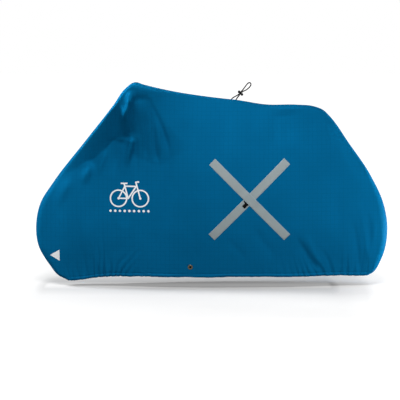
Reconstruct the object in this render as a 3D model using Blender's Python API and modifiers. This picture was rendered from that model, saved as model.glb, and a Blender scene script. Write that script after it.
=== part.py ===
"""Bicycle cover: two side panels sewn along the ridge, as they hang over a bicycle.

Metres, +Z up.  The front of the bicycle points to -X and the left panel to -Y.
Every shape is laid out in stand coordinates: X = 0 is the middle of the cover, Y = 0 the
plane of the ridge seam and Z = 0 the ground under the tyres.  One empty then carries
everything so that the world origin lies on the underside of the cloth over the saddle.
"""
import math

import bmesh
import bpy
import numpy as np
from mathutils import Matrix, Vector

COLLECTION_NAME = "bicycle_cover"

# ---------------------------------------------------------------- driving dimensions
CLOTH = 0.0015              # thickness of a panel
GAP = 0.0003                # clearance between two pieces
CASING_HEIGHT = 0.016       # hem casing that holds the elastic
CASING_SWELL = 0.003        # how far the casing stands out
SADDLE_X = 0.40             # where the cloth rests on the saddle

# The ridge seam seen from the side, from the front hem corner over the top to the rear one.
SEAM = (
    # name               x       z
    ("front corner",    -0.722,  0.027),
    ("front low",       -0.774,  0.056),
    ("front turn",      -0.808,  0.099),
    ("front bulge",     -0.871,  0.212),
    ("wheel front",     -0.879,  0.300),
    ("wheel shoulder",  -0.856,  0.415),
    ("wheel top",       -0.795,  0.513),
    ("front slope",     -0.634,  0.720),
    ("bar rise",        -0.485,  0.908),
    ("bar front",       -0.424,  0.991),
    ("bar top",         -0.390,  1.014),
    ("bar rear",        -0.345,  1.003),
    ("ridge front",     -0.216,  0.975),
    ("ridge middle",     0.030,  0.938),
    ("cord pull",        0.122,  0.928),
    ("ridge low",        0.270,  0.9055),
    ("saddle top",       0.420,  0.9045),
    ("saddle rear",      0.505,  0.897),
    ("rear corner",      0.555,  0.877),
    ("rear fall",        0.583,  0.850),
    ("rear slope",       0.680,  0.716),
    ("tail top",         0.790,  0.554),
    ("tail shoulder",    0.858,  0.405),
    ("tail bulge",       0.8765, 0.295),
    ("tail turn",        0.846,  0.131),
    ("tail low",         0.806,  0.067),
    ("tail corner",      0.784,  0.054),
)

# The hem edge from corner to corner.
HEM = (
    # name               x       z
    ("front corner",    -0.722,  0.027),
    ("front lift",      -0.640,  0.037),
    ("front wheel",     -0.560,  0.050),
    ("front bottom",    -0.400,  0.057),
    ("middle",          -0.100,  0.058),
    ("middle rear",      0.150,  0.060),
    ("rear bottom",      0.440,  0.057),
    ("rear wheel",       0.620,  0.059),
    ("tail lift",        0.720,  0.055),
    ("tail corner",      0.784,  0.054),
)

# Which hem point each seam point hangs over, so that the threads fan out at both ends.
TIES = (
    # hem x    seam point
    (-0.722,  "front corner"),
    (-0.470,  "bar rise"),
    (-0.290,  "bar rear"),
    (0.520,   "rear corner"),
    (0.784,   "tail corner"),
)

# Half the width of the cover in sections across it.  "ridge" is next to the seam, and the
# seam is rounded over "drop".  The other columns stand at the heights in LEVELS.
LEVELS = (0.0, 0.30, 0.60, 0.85, 1.0)
SECTIONS = (
    # x       drop    hem     low     middle  upper   ridge
    (-0.880,  0.030,  0.030,  0.030,  0.030,  0.030,  0.030),
    (-0.800,  0.032,  0.034,  0.044,  0.046,  0.042,  0.036),
    (-0.700,  0.032,  0.042,  0.076,  0.086,  0.080,  0.068),
    (-0.600,  0.030,  0.056,  0.106,  0.122,  0.124,  0.130),
    (-0.500,  0.024,  0.072,  0.130,  0.154,  0.180,  0.212),
    (-0.425,  0.015,  0.088,  0.148,  0.176,  0.226,  0.284),
    (-0.390,  0.012,  0.096,  0.158,  0.186,  0.240,  0.298),
    (-0.355,  0.013,  0.104,  0.166,  0.194,  0.240,  0.284),
    (-0.300,  0.015,  0.116,  0.176,  0.202,  0.222,  0.216),
    (-0.230,  0.015,  0.128,  0.184,  0.204,  0.186,  0.136),
    (-0.150,  0.013,  0.136,  0.190,  0.200,  0.156,  0.086),
    (-0.030,  0.012,  0.142,  0.193,  0.193,  0.132,  0.058),
    (0.110,   0.012,  0.140,  0.188,  0.182,  0.118,  0.050),
    (0.260,   0.014,  0.132,  0.176,  0.166,  0.108,  0.056),
    (0.420,   0.020,  0.112,  0.154,  0.146,  0.104,  0.074),
    (0.540,   0.022,  0.086,  0.130,  0.128,  0.096,  0.064),
    (0.660,   0.028,  0.062,  0.098,  0.098,  0.078,  0.042),
    (0.780,   0.030,  0.042,  0.056,  0.058,  0.046,  0.034),
    (0.880,   0.030,  0.030,  0.030,  0.030,  0.030,  0.030),
)

# Main folds: a trough or ridge from one point to another, "out" being how far it stands
# out of the cloth and "spread" half its width.
FOLDS = (
    # from x, z        to x, z           out      spread
    (-0.404,  0.972,  -0.398,  0.925,   0.018,  0.026),    # grip end
    (-0.435,  0.905,  -0.510,  0.775,  -0.040,  0.044),    # pocket in front of the grip
    (-0.345,  0.925,  -0.290,  0.885,  -0.022,  0.028),    # dip behind the grip
    (-0.605,  0.672,  -0.525,  0.728,   0.018,  0.024),    # crease under the pocket, front
    (-0.525,  0.728,  -0.405,  0.748,   0.020,  0.024),    # crease under the pocket, rear
    (-0.415,  0.740,  -0.455,  0.560,   0.016,  0.028),    # ridge that falls from it
    (-0.355,  0.860,  -0.305,  0.640,  -0.020,  0.024),    # first trough of the fan
    (-0.300,  0.920,  -0.185,  0.715,  -0.020,  0.024),    # second trough of the fan
    (-0.135,  0.800,  -0.070,  0.680,  -0.010,  0.026),
    (0.315,   0.870,   0.318,  0.650,  -0.012,  0.034),    # below the saddle's nose
    (0.490,   0.780,   0.500,  0.620,  -0.010,  0.030),
    (0.425,   0.245,   0.535,  0.085,  -0.014,  0.026),
    (0.770,   0.400,   0.738,  0.110,  -0.012,  0.020),    # beside the rear wheel
    (0.690,   0.330,   0.662,  0.120,  -0.012,  0.022),
    (-0.640,  0.540,  -0.690,  0.380,  -0.012,  0.026),    # beside the front wheel
    (-0.570,  0.310,  -0.490,  0.190,  -0.012,  0.026),
)

# Gathers that the elastic draws in the hem: pleats of two columns each.
GATHERS = (
    # from x    to x     columns  depth   height
    (-0.722,   -0.462,   13,      0.007,  0.110),
    (-0.462,   -0.282,   10,      0.003,  0.080),
    (-0.282,    0.458,   16,      0.002,  0.060),
    (0.458,     0.784,   16,      0.006,  0.100),
)

# Rows of points down a panel: near the seam in metres, the rest as a share of what is left.
SEAM_ROWS = (0.0, 0.003, 0.008, 0.016, 0.030, 0.052)
MIDDLE_ROWS = 14
MIDDLE_SPREAD = 1.4         # above 1, the rows lie closer together near the seam
HEM_ROWS = (0.045, CASING_HEIGHT, 0.5 * CASING_HEIGHT, 0.0)
FULL_LINE = 0.35            # a shorter thread has its end rows closer together

# Reflective tape: a cross on the left panel.
TAPE_WIDTH = 0.044
TAPE_LENGTH = 0.525
TAPE_THICKNESS = 0.001
TAPE_CENTRE = (0.185, 0.443)
TAPE_ANGLE = math.radians(45.5)
TAPE_STEPS = (40, 4)        # faces along and across
TAPE_LIFT = 0.0010          # from the panel's outer side, over its small folds
HUMP_REACH = 0.030          # over which the upper strip comes down from the lower one

# Webbing tab caught under the upper strip.
TAB_WIDTH = 0.022
TAB_OUT = 0.024             # the length that shows
TAB_UNDER = 0.018           # the length under the strip
TAB_THICKNESS = 0.0012
TAB_SHIFT = 0.004           # off the cross's middle, along the upper strip

# Eyelets for a lock, one in each panel, in a round patch of cloth.
EYELET_X = -0.108
EYELET_Z = 0.110
EYELET_HOLE = 0.0055        # radius
EYELET_BARREL = 0.0062      # outer radius
EYELET_FLANGE = 0.0125      # outer radius
EYELET_LIP = 0.0011         # thickness of a flange
PATCH_RADIUS = 0.0190
FLAT_INNER = 0.030          # the cloth is flat this far from an eyelet
FLAT_OUTER = 0.075          # and has its full folds from here

# Drawcord: a loop that leaves the cloth twice at the ridge, with a spring lock on it.
CORD_DIAMETER = 0.0035
CORD_STEP = 2.6 * CORD_DIAMETER
LOCK_CENTRE = (0.1415, -0.006, 0.963)
LOCK_LEAN = math.radians(47.0)      # of the cord where it goes through the lock
STRAND_SPACING = 0.0046             # between the two strands in the lock
CORD_ROUTE = (
    # up from the cloth
    (0.0970, -0.006, 0.9334),
    (0.1030, -0.006, 0.9392),
    (0.1120, -0.006, 0.9450),
    (0.1220, -0.006, 0.9503),
    # through the lock
    (0.1316, -0.006, 0.9558),
    (0.1371, -0.006, 0.9616),
    (0.1426, -0.006, 0.9675),
    (0.1480, -0.006, 0.9734),
    # round the loop
    (0.1555, -0.006, 0.9830),
    (0.1640, -0.005, 0.9945),
    (0.1725, -0.004, 1.0055),
    (0.1795, -0.004, 1.0125),
    (0.1868, -0.004, 1.0150),
    (0.1925, -0.005, 1.0105),
    (0.1925, -0.006, 1.0030),
    (0.1875, -0.007, 0.9945),
    (0.1790, -0.007, 0.9862),
    (0.1690, -0.007, 0.9785),
    (0.1600, -0.006, 0.9745),
    # back through the lock
    (0.1513, -0.006, 0.9702),
    (0.1459, -0.006, 0.9643),
    (0.1404, -0.006, 0.9585),
    (0.1350, -0.006, 0.9526),
    # down to the cloth
    (0.1296, -0.006, 0.9455),
    (0.1243, -0.006, 0.9384),
    (0.1192, -0.006, 0.9312),
)
BARREL_RADIUS = 0.0052
BALL_RADIUS = 0.0064
BALL_SPACING = 0.0190       # between the centres of the lock's two round ends
LOCK_SPLIT = 0.0062         # where the button meets the body, from the lock's middle
SLOT_CLEARANCE = 0.0005

COLOURS = {
    # name: base colour, roughness, metallic
    "cloth": ((0.004, 0.105, 0.240), 0.55, 0.0),
    "tape": ((0.285, 0.335, 0.350), 0.45, 0.0),
    "webbing": ((0.008, 0.008, 0.008), 0.80, 0.0),
    "metal": ((0.230, 0.190, 0.120), 0.35, 1.0),
    "cord": ((0.020, 0.018, 0.018), 0.80, 0.0),
    "plastic": ((0.012, 0.012, 0.012), 0.45, 0.0),
}


# ---------------------------------------------------------------- curves and tables
def smooth_read(stations, values, at):
    """Read the smooth curve through values, which stand at the given stations."""
    stations = np.asarray(stations, float)
    values = np.asarray(values, float)
    at = np.clip(np.asarray(at, float), stations[0], stations[-1])
    slopes = np.gradient(values, stations, axis=0)
    index = np.clip(np.searchsorted(stations, at, side="right") - 1, 0, len(stations) - 2)
    span = stations[index + 1] - stations[index]
    part = (at - stations[index]) / span
    if values.ndim > 1:
        part = part[..., None]
        span = span[..., None]
    square = part * part
    cube = square * part
    return ((2 * cube - 3 * square + 1) * values[index]
            + (cube - 2 * square + part) * span * slopes[index]
            + (3 * square - 2 * cube) * values[index + 1]
            + (cube - square) * span * slopes[index + 1])


def chords(points):
    """Distance along a polyline at each of its points."""
    steps = np.linalg.norm(np.diff(points, axis=0), axis=1)
    return np.concatenate(([0.0], np.cumsum(steps)))


def ease(amount):
    """Go from 0 to 1 without a corner."""
    amount = np.clip(amount, 0.0, 1.0)
    return amount * amount * (3.0 - 2.0 * amount)


def distance_to_line(points, start, end):
    """Distance of points from a stretch, and how far along it they lie, 0 to 1."""
    start = np.asarray(start, float)
    run = np.asarray(end, float) - start
    along = np.clip(((points - start) @ run) / (run @ run), 0.0, 1.0)
    foot = start + along[..., None] * run
    return np.linalg.norm(points - foot, axis=-1), along


SEAM_NAMES = [row[0] for row in SEAM]
SEAM_POINTS = np.array([row[1:] for row in SEAM])
SEAM_CHORDS = chords(SEAM_POINTS)
SEAM_FINE = smooth_read(SEAM_CHORDS, SEAM_POINTS, np.linspace(0, SEAM_CHORDS[-1], 420))
HEM_X = np.array([row[1] for row in HEM])
HEM_Z = np.array([row[2] for row in HEM])
SECTION_TABLE = np.array(SECTIONS)
TIE_HEM = np.array([row[0] for row in TIES])
TIE_SEAM = np.array([SEAM_CHORDS[SEAM_NAMES.index(row[1])] for row in TIES])


def seam_distance(points):
    """Distance of side-view points from the ridge seam."""
    nearest = np.full(points.shape[:-1], np.inf)
    for start, end in zip(SEAM_FINE[:-1], SEAM_FINE[1:]):
        nearest = np.minimum(nearest, distance_to_line(points, start, end)[0])
    return nearest


def seam_height(x):
    """Height of the upper side of the seam at x."""
    widest = (int(np.argmin(SEAM_FINE[:, 0])), int(np.argmax(SEAM_FINE[:, 0])))
    top = SEAM_FINE[widest[0]:widest[1] + 1]
    return np.interp(x, top[:, 0], top[:, 1])


def hem_height(x):
    return smooth_read(HEM_X, HEM_Z, x)


# ---------------------------------------------------------------- shape of the cloth
def body_width(points):
    """Half-width of the cover at side-view points, before folds."""
    x = points[..., 0]
    z = points[..., 1]
    row = smooth_read(SECTION_TABLE[:, 0], SECTION_TABLE[:, 1:], x)
    base = hem_height(x)
    level = np.clip((z - base) / np.maximum(seam_height(x) - base, 0.05), 0.0, 1.0)
    widths = row[..., 1:]
    width = np.zeros(x.shape)
    slopes = np.gradient(widths, LEVELS, axis=-1)
    for low, (start, end) in enumerate(zip(LEVELS[:-1], LEVELS[1:])):
        here = (level >= start) & (level <= end)
        part = np.clip((level - start) / (end - start), 0.0, 1.0)
        square = part * part
        cube = square * part
        value = ((2 * cube - 3 * square + 1) * widths[..., low]
                 + (cube - 2 * square + part) * (end - start) * slopes[..., low]
                 + (3 * square - 2 * cube) * widths[..., low + 1]
                 + (cube - square) * (end - start) * slopes[..., low + 1])
        width = np.where(here, value, width)
    shade = 1.0 - np.minimum(seam_distance(points) / row[..., 0], 1.0)
    return width * np.sqrt(np.maximum(1.0 - shade * shade, 0.0))


def fold_depth(points):
    """How far the main folds stand out of the cloth at side-view points."""
    depth = np.zeros(points.shape[:-1])
    for x0, z0, x1, z1, out, spread in FOLDS:
        away, along = distance_to_line(points, (x0, z0), (x1, z1))
        taper = 0.35 + 0.65 * np.sin(math.pi * (0.1 + 0.8 * along))
        depth += out * taper * np.exp(-(away / spread) ** 2)
    return depth * ease(seam_distance(points) / 0.040)


def eyelet_plane(points):
    """The flat of cloth around an eyelet: its half-width there."""
    step = 0.02
    middle = np.array([EYELET_X, EYELET_Z])
    at_middle = float(body_width(middle))
    slope_x = float(body_width(middle + (step, 0.0)) - body_width(middle - (step, 0.0))) / (2 * step)
    slope_z = float(body_width(middle + (0.0, step)) - body_width(middle - (0.0, step))) / (2 * step)
    plane = at_middle + slope_x * (points[..., 0] - EYELET_X) + slope_z * (points[..., 1] - EYELET_Z)
    return plane, slope_x, slope_z


def cloth_width(points, pleat):
    """Half-width of the cover at side-view points with all its folds.

    pleat is the gathers' share, -1 to 1, times their depth, at the same points.
    """
    width = body_width(points) + fold_depth(points)
    above = points[..., 1] - hem_height(points[..., 0])
    casing = CASING_SWELL * np.exp(-((above - 0.5 * CASING_HEIGHT) / (0.4 * CASING_HEIGHT)) ** 2)
    inside = ease(seam_distance(points) / 0.030)
    width = width + (pleat + casing) * inside
    away = np.hypot(points[..., 0] - EYELET_X, points[..., 1] - EYELET_Z)
    flat = 1.0 - ease((away - FLAT_INNER) / (FLAT_OUTER - FLAT_INNER))
    width = width + flat * (eyelet_plane(points)[0] - width)
    return width


def hem_columns():
    """Hem x of every column of points, with its gathers' depth and height."""
    columns = []
    turn = 1.0
    for start, end, count, depth, height in GATHERS:
        for step in range(count):
            uneven = 0.75 + 0.25 * math.sin(2.4 * len(columns))
            columns.append((start + (end - start) * step / count, turn * depth * uneven, height))
            turn = -turn
    columns.append((GATHERS[-1][1], 0.0, GATHERS[-1][4]))
    return columns


def row_distances(length):
    """Distances from the seam down a thread of this length."""
    scale = min(1.0, length / FULL_LINE)
    top = [scale * distance for distance in SEAM_ROWS]
    bottom = [length - scale * distance for distance in HEM_ROWS]
    share = np.linspace(0.0, 1.0, MIDDLE_ROWS + 2)[1:-1] ** MIDDLE_SPREAD
    middle = top[-1] + share * (bottom[0] - top[-1])
    return np.array(top + list(middle) + bottom)


def panel_grid():
    """Side-view points and half-widths of a panel, a row for each column of points."""
    grid = []
    pleats = []
    for hem_x, depth, height in hem_columns():
        foot = np.array([hem_x, float(hem_height(hem_x))])
        seam_at = smooth_read(TIE_HEM, TIE_SEAM, hem_x)
        head = smooth_read(SEAM_CHORDS, SEAM_POINTS, seam_at)
        length = float(np.linalg.norm(foot - head))
        share = row_distances(max(length, 1e-6)) / max(length, 1e-6)
        line = head + share[:, None] * (foot - head)
        above = line[:, 1] - foot[1]
        grid.append(line)
        pleats.append(depth * (1.0 - ease(above / height)))
    grid = np.array(grid)
    width = cloth_width(grid, np.array(pleats))
    width[:, 0] = 0.0
    return grid, width


# ---------------------------------------------------------------- Blender helpers
def clear_scene():
    for item in list(bpy.data.objects):
        bpy.data.objects.remove(item, do_unlink=True)


def make_collection(name):
    collection = bpy.data.collections.new(name)
    bpy.context.scene.collection.children.link(collection)
    return collection


def make_material(name):
    colour, roughness, metallic = COLOURS[name]
    material = bpy.data.materials.new(name)
    material.use_nodes = True
    shader = material.node_tree.nodes["Principled BSDF"]
    shader.inputs["Base Color"].default_value = (*colour, 1.0)
    shader.inputs["Roughness"].default_value = roughness
    shader.inputs["Metallic"].default_value = metallic
    return material


def add_object(name, data, material, collection, parent):
    item = bpy.data.objects.new(name, data)
    collection.objects.link(item)
    item.parent = parent
    if material is not None:
        data.materials.append(material)
    return item


def thicken(item, thickness):
    """Give an open surface its thickness on its outer side."""
    solidify = item.modifiers.new("thickness", "SOLIDIFY")
    solidify.thickness = thickness
    solidify.offset = 1.0
    return solidify


def cut(item, cutter):
    boolean = item.modifiers.new("cut " + cutter.name, "BOOLEAN")
    boolean.operation = "DIFFERENCE"
    boolean.object = cutter
    return boolean


def hide_cutter(item):
    item.hide_render = True
    item.display_type = "WIRE"


def grid_mesh(name, points, flip):
    """Mesh of a grid of points, whose faces point out of the cover."""
    columns, rows = points.shape[:2]
    faces = []
    for column in range(columns - 1):
        for row in range(rows - 1):
            corner = column * rows + row
            face = (corner, corner + 1, corner + rows + 1, corner + rows)
            faces.append(face[::-1] if flip else face)
    mesh = bpy.data.meshes.new(name)
    mesh.from_pydata(points.reshape(-1, 3).tolist(), [], faces)
    bm = bmesh.new()
    bm.from_mesh(mesh)
    bmesh.ops.remove_doubles(bm, verts=bm.verts, dist=1e-5)
    bm.to_mesh(mesh)
    bm.free()
    mesh.shade_smooth()
    return mesh


# ---------------------------------------------------------------- panels
def side_panel(name, side, material, collection, parent):
    """One side panel; side is -1 on the left and 1 on the right."""
    grid, width = panel_grid()
    points = np.stack((grid[..., 0], side * (width + 0.5 * GAP), grid[..., 1]), axis=-1)
    item = add_object(name, grid_mesh(name, points, side > 0), material, collection, parent)
    thicken(item, CLOTH)
    return item


def eyelet_matrix(side):
    """Place of an eyelet: the middle of the cloth's thickness, Z out of the cover."""
    middle = np.array([EYELET_X, EYELET_Z])
    plane, slope_x, slope_z = eyelet_plane(middle)
    normal = Vector((-slope_x, 1.0, -slope_z)).normalized()
    normal.y *= side
    centre = Vector((EYELET_X, side * (float(plane) + 0.5 * GAP), EYELET_Z)) + 0.5 * CLOTH * normal
    turn = normal.to_track_quat("Z", "Y").to_matrix().to_4x4()
    return Matrix.Translation(centre) @ turn


def cylinder(name, radius, height, sides):
    mesh = bpy.data.meshes.new(name)
    bm = bmesh.new()
    bmesh.ops.create_cone(bm, cap_ends=True, segments=sides, radius1=radius, radius2=radius, depth=height)
    bm.to_mesh(mesh)
    bm.free()
    return mesh


def eyelet_patch(name, side, panel, material, collection, cutters, parent):
    """Round patch that fills a hole in its panel and has the eyelet's hole in it."""
    place = eyelet_matrix(side)
    opening = add_object("cut " + name, cylinder(name, PATCH_RADIUS + GAP, 0.03, 32), None, cutters, parent)
    opening.matrix_local = place
    hide_cutter(opening)
    cut(panel, opening)
    patch = add_object(name, cylinder(name, PATCH_RADIUS, CLOTH, 32), material, collection, parent)
    patch.matrix_local = place
    bore = add_object("bore " + name, cylinder(name, EYELET_BARREL + GAP, 0.03, 24), None, cutters, parent)
    bore.matrix_local = place
    hide_cutter(bore)
    cut(patch, bore)


def eyelet(name, side, material, collection, parent):
    """Turned ring: a barrel through the patch with a rolled flange on either side."""
    face = 0.5 * CLOTH + GAP
    tip = face + EYELET_LIP
    shoulder = 0.5 * (EYELET_HOLE + EYELET_FLANGE)
    profile = (
        (EYELET_FLANGE, face + 0.3 * EYELET_LIP),
        (EYELET_FLANGE, face),
        (EYELET_BARREL, face),
        (EYELET_BARREL, -face),
        (EYELET_FLANGE, -face),
        (EYELET_FLANGE, -face - 0.3 * EYELET_LIP),
        (shoulder, -tip),
        (EYELET_HOLE, -face),
        (EYELET_HOLE, face),
        (shoulder, tip),
    )
    mesh = bpy.data.meshes.new(name)
    edges = [(index, (index + 1) % len(profile)) for index in range(len(profile))]
    mesh.from_pydata([(radius, 0.0, height) for radius, height in profile], edges, [])
    item = add_object(name, mesh, material, collection, parent)
    item.matrix_local = eyelet_matrix(side)
    screw = item.modifiers.new("turned", "SCREW")
    screw.axis = "Z"
    screw.angle = math.tau
    screw.steps = 28
    screw.render_steps = 28
    screw.use_merge_vertices = True
    screw.merge_threshold = 0.00005
    return item


# ---------------------------------------------------------------- tape and tab
def strip_surface(centre, angle, length, width, steps, lift_at):
    """Grid of points of a strip that lies on the left panel, along and across."""
    run, off = np.meshgrid(np.linspace(-0.5, 0.5, steps[0] + 1) * length,
                           np.linspace(-0.5, 0.5, steps[1] + 1) * width, indexing="ij")
    x = centre[0] + run * math.cos(angle) - off * math.sin(angle)
    z = centre[1] + run * math.sin(angle) + off * math.cos(angle)
    lift = 0.5 * GAP + CLOTH + lift_at(run)
    return np.stack((x, -(cloth_width(np.stack((x, z), axis=-1), 0.0) + lift), z), axis=-1)


def tape_strip(name, angle, lift_at, material, collection, parent):
    points = strip_surface(TAPE_CENTRE, angle, TAPE_LENGTH, TAPE_WIDTH, TAPE_STEPS, lift_at)
    item = add_object(name, grid_mesh(name, points, True), material, collection, parent)
    thicken(item, TAPE_THICKNESS)


def upper_lift(run):
    """Lift of the upper strip: over the lower strip and the tab in the middle."""
    stack = TAPE_THICKNESS + TAB_THICKNESS + 2 * GAP + 0.0002
    return TAPE_LIFT + stack * (1.0 - ease((abs(run) - 0.5 * TAPE_WIDTH - 0.003) / HUMP_REACH))


def webbing_tab(name, material, collection, parent):
    """Short tab on the lower strip, caught under the upper one and pointing down."""
    angle = TAPE_ANGLE
    length = TAB_OUT + TAB_UNDER
    out = -(0.5 * TAPE_WIDTH + TAB_OUT - 0.5 * length)
    centre = (
        TAPE_CENTRE[0] + out * math.cos(angle) - TAB_SHIFT * math.sin(angle),
        TAPE_CENTRE[1] + out * math.sin(angle) + TAB_SHIFT * math.cos(angle),
    )
    lift = TAPE_LIFT + TAPE_THICKNESS + GAP
    points = strip_surface(centre, angle, length, TAB_WIDTH, (5, 2), lambda run: lift)
    item = add_object(name, grid_mesh(name, points, True), material, collection, parent)
    thicken(item, TAB_THICKNESS)


# ---------------------------------------------------------------- drawcord and its lock
def drawcord(name, material, collection, parent):
    route = np.array(CORD_ROUTE)
    lengths = chords(route)
    count = int(lengths[-1] / CORD_STEP) + 1
    points = smooth_read(lengths, route, np.linspace(0.0, lengths[-1], count + 1))
    curve = bpy.data.curves.new(name, "CURVE")
    curve.dimensions = "3D"
    curve.bevel_depth = 0.5 * CORD_DIAMETER
    curve.bevel_resolution = 2
    curve.use_fill_caps = True
    spline = curve.splines.new("POLY")
    spline.points.add(len(points) - 1)
    for target, point in zip(spline.points, points):
        target.co = (*point, 1.0)
    add_object(name, curve, material, collection, parent)


def lock_matrix():
    """Place of the cord lock: X along the cord, Z across it, down to the rear."""
    along = Vector((math.cos(LOCK_LEAN), 0.0, math.sin(LOCK_LEAN)))
    across = Vector((math.sin(LOCK_LEAN), 0.0, -math.cos(LOCK_LEAN)))
    depth = across.cross(along)
    turn = Matrix((along, depth, across)).transposed().to_4x4()
    return Matrix.Translation(Vector(LOCK_CENTRE)) @ turn


def ball_profile(start, end, ball, steps=7):
    """Turned outline from end down to start: a ball, and a barrel where there is room."""
    neck = math.asin(BARREL_RADIUS / BALL_RADIUS)
    outline = [(0.0, end)]
    top = math.acos(min((end - ball) / BALL_RADIUS, 1.0))
    bottom = math.acos(max((start - ball) / BALL_RADIUS, -1.0))
    if end > ball + BALL_RADIUS:
        outline.append((BARREL_RADIUS, end))
        top = neck
    if start < ball - BALL_RADIUS:
        bottom = math.pi - neck
    for step in range(steps + 1):
        angle = top + (bottom - top) * step / steps
        outline.append((BALL_RADIUS * math.sin(angle), ball + BALL_RADIUS * math.cos(angle)))
    if start < ball - BALL_RADIUS:
        outline.append((BARREL_RADIUS, start))
    outline.append((0.0, start))
    return [point for index, point in enumerate(outline)
            if index == 0 or math.dist(point, outline[index - 1]) > 1e-6]


def turned_solid(name, outline, material, collection, parent, place):
    mesh = bpy.data.meshes.new(name)
    edges = [(index, index + 1) for index in range(len(outline) - 1)]
    mesh.from_pydata([(max(radius, 0.0), 0.0, height) for radius, height in outline], edges, [])
    item = add_object(name, mesh, material, collection, parent)
    item.matrix_local = place
    screw = item.modifiers.new("turned", "SCREW")
    screw.axis = "Z"
    screw.angle = math.tau
    screw.steps = 18
    screw.render_steps = 18
    screw.use_merge_vertices = True
    screw.merge_threshold = 0.00005
    return item


def cord_lock(material, collection, cutters, parent):
    """Barrel lock across the two strands: a slotted body and its push button."""
    place = lock_matrix()
    body_ball = -0.5 * BALL_SPACING
    button_ball = 0.5 * BALL_SPACING
    body = turned_solid("cord_lock_body", ball_profile(body_ball - BALL_RADIUS, LOCK_SPLIT, body_ball),
                        material, collection, parent, place)
    turned_solid("cord_lock_button",
                 ball_profile(LOCK_SPLIT + GAP, button_ball + BALL_RADIUS, button_ball),
                 material, collection, parent, place)
    slot_mesh = bpy.data.meshes.new("cord slot")
    bm = bmesh.new()
    bmesh.ops.create_cube(bm, size=1.0)
    height = CORD_DIAMETER + 2 * SLOT_CLEARANCE
    across = STRAND_SPACING + CORD_DIAMETER + 2 * SLOT_CLEARANCE
    bmesh.ops.scale(bm, verts=bm.verts, vec=(0.03, height, across))
    bm.to_mesh(slot_mesh)
    bm.free()
    slot = add_object("cut cord slot", slot_mesh, None, cutters, parent)
    slot.matrix_local = place
    hide_cutter(slot)
    cut(body, slot)


def main():
    clear_scene()
    collection = make_collection(COLLECTION_NAME)
    cutters = make_collection("cutters")
    materials = {name: make_material(name) for name in COLOURS}
    origin = bpy.data.objects.new("saddle_point", None)
    collection.objects.link(origin)
    origin.location = (-SADDLE_X, 0.0, -float(seam_height(SADDLE_X)))
    for label, side in (("left", -1), ("right", 1)):
        panel = side_panel("side_panel_" + label, side, materials["cloth"], collection, origin)
        eyelet_patch("eyelet_patch_" + label, side, panel, materials["cloth"], collection, cutters, origin)
        eyelet("eyelet_" + label, side, materials["metal"], collection, origin)
    tape_strip("reflective_tape_lower", TAPE_ANGLE, lambda run: TAPE_LIFT, materials["tape"],
               collection, origin)
    tape_strip("reflective_tape_upper", -TAPE_ANGLE, upper_lift, materials["tape"], collection, origin)
    webbing_tab("webbing_tab", materials["webbing"], collection, origin)
    drawcord("drawcord", materials["cord"], collection, origin)
    cord_lock(materials["plastic"], collection, cutters, origin)


main()
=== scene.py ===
import math

import bmesh
import bpy
import numpy as np
from bpy.props import FloatProperty, FloatVectorProperty, IntProperty, PointerProperty
from mathutils import Matrix, Vector


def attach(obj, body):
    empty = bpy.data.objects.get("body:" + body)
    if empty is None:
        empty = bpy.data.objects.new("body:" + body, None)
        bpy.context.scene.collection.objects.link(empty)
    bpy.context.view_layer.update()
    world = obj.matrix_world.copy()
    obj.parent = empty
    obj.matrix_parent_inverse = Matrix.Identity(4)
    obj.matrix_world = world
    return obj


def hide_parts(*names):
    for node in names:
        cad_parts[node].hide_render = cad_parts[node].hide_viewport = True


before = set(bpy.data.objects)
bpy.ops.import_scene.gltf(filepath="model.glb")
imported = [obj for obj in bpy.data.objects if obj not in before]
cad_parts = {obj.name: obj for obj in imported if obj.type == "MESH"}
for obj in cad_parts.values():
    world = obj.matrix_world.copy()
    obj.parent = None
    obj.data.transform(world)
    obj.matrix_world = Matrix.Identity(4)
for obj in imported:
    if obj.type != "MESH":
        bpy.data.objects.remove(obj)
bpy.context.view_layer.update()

bl_info = {
    "name": "Bicycle Cover",
    "version": (1, 0, 0),
    "blender": (4, 5, 0),
    "location": "3D View > Sidebar > Cover",
    "description": "Makes a draped bicycle cover with its tape, eyelets, drawcord and stitching",
    "category": "Object",
}

BODY = "root"
SIDES = ((-1, "left"), (1, "right"))

# ---------------------------------------------------------------- shape of the cover
# Lengths are in metres.  Shapes are laid out as seen from the side: x = 0 is the middle of
# the cover and z = 0 the ground.  to_row() moves them so that the origin is at the mount.
CLOTH = 0.0015              # thickness of the solid panel, whose outer side the sheet keeps to
GAP = 0.0003                # between pieces that lie on each other
SADDLE_X = 0.40             # of the origin
SMALL = 1e-3                # least length that something is divided by

# The ridge seam from the front corner to the tail, and the hem under it.
SEAM = (
    # name               x       z
    ("front corner",    -0.722,  0.027),
    ("front low",       -0.774,  0.056),
    ("front turn",      -0.808,  0.099),
    ("front bulge",     -0.871,  0.212),
    ("wheel front",     -0.879,  0.300),
    ("wheel shoulder",  -0.856,  0.415),
    ("wheel top",       -0.795,  0.513),
    ("front slope",     -0.634,  0.720),
    ("bar rise",        -0.485,  0.908),
    ("bar front",       -0.424,  0.991),
    ("bar top",         -0.390,  1.014),
    ("bar rear",        -0.345,  1.003),
    ("ridge front",     -0.216,  0.975),
    ("ridge middle",     0.030,  0.938),
    ("cord pull",        0.122,  0.928),
    ("ridge low",        0.270,  0.9055),
    ("saddle top",       0.420,  0.9045),
    ("saddle rear",      0.505,  0.897),
    ("rear corner",      0.555,  0.877),
    ("rear fall",        0.583,  0.850),
    ("rear slope",       0.680,  0.716),
    ("tail top",         0.790,  0.554),
    ("tail shoulder",    0.858,  0.405),
    ("tail bulge",       0.8765, 0.295),
    ("tail turn",        0.846,  0.131),
    ("tail low",         0.806,  0.067),
    ("tail corner",      0.784,  0.054),
)

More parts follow.
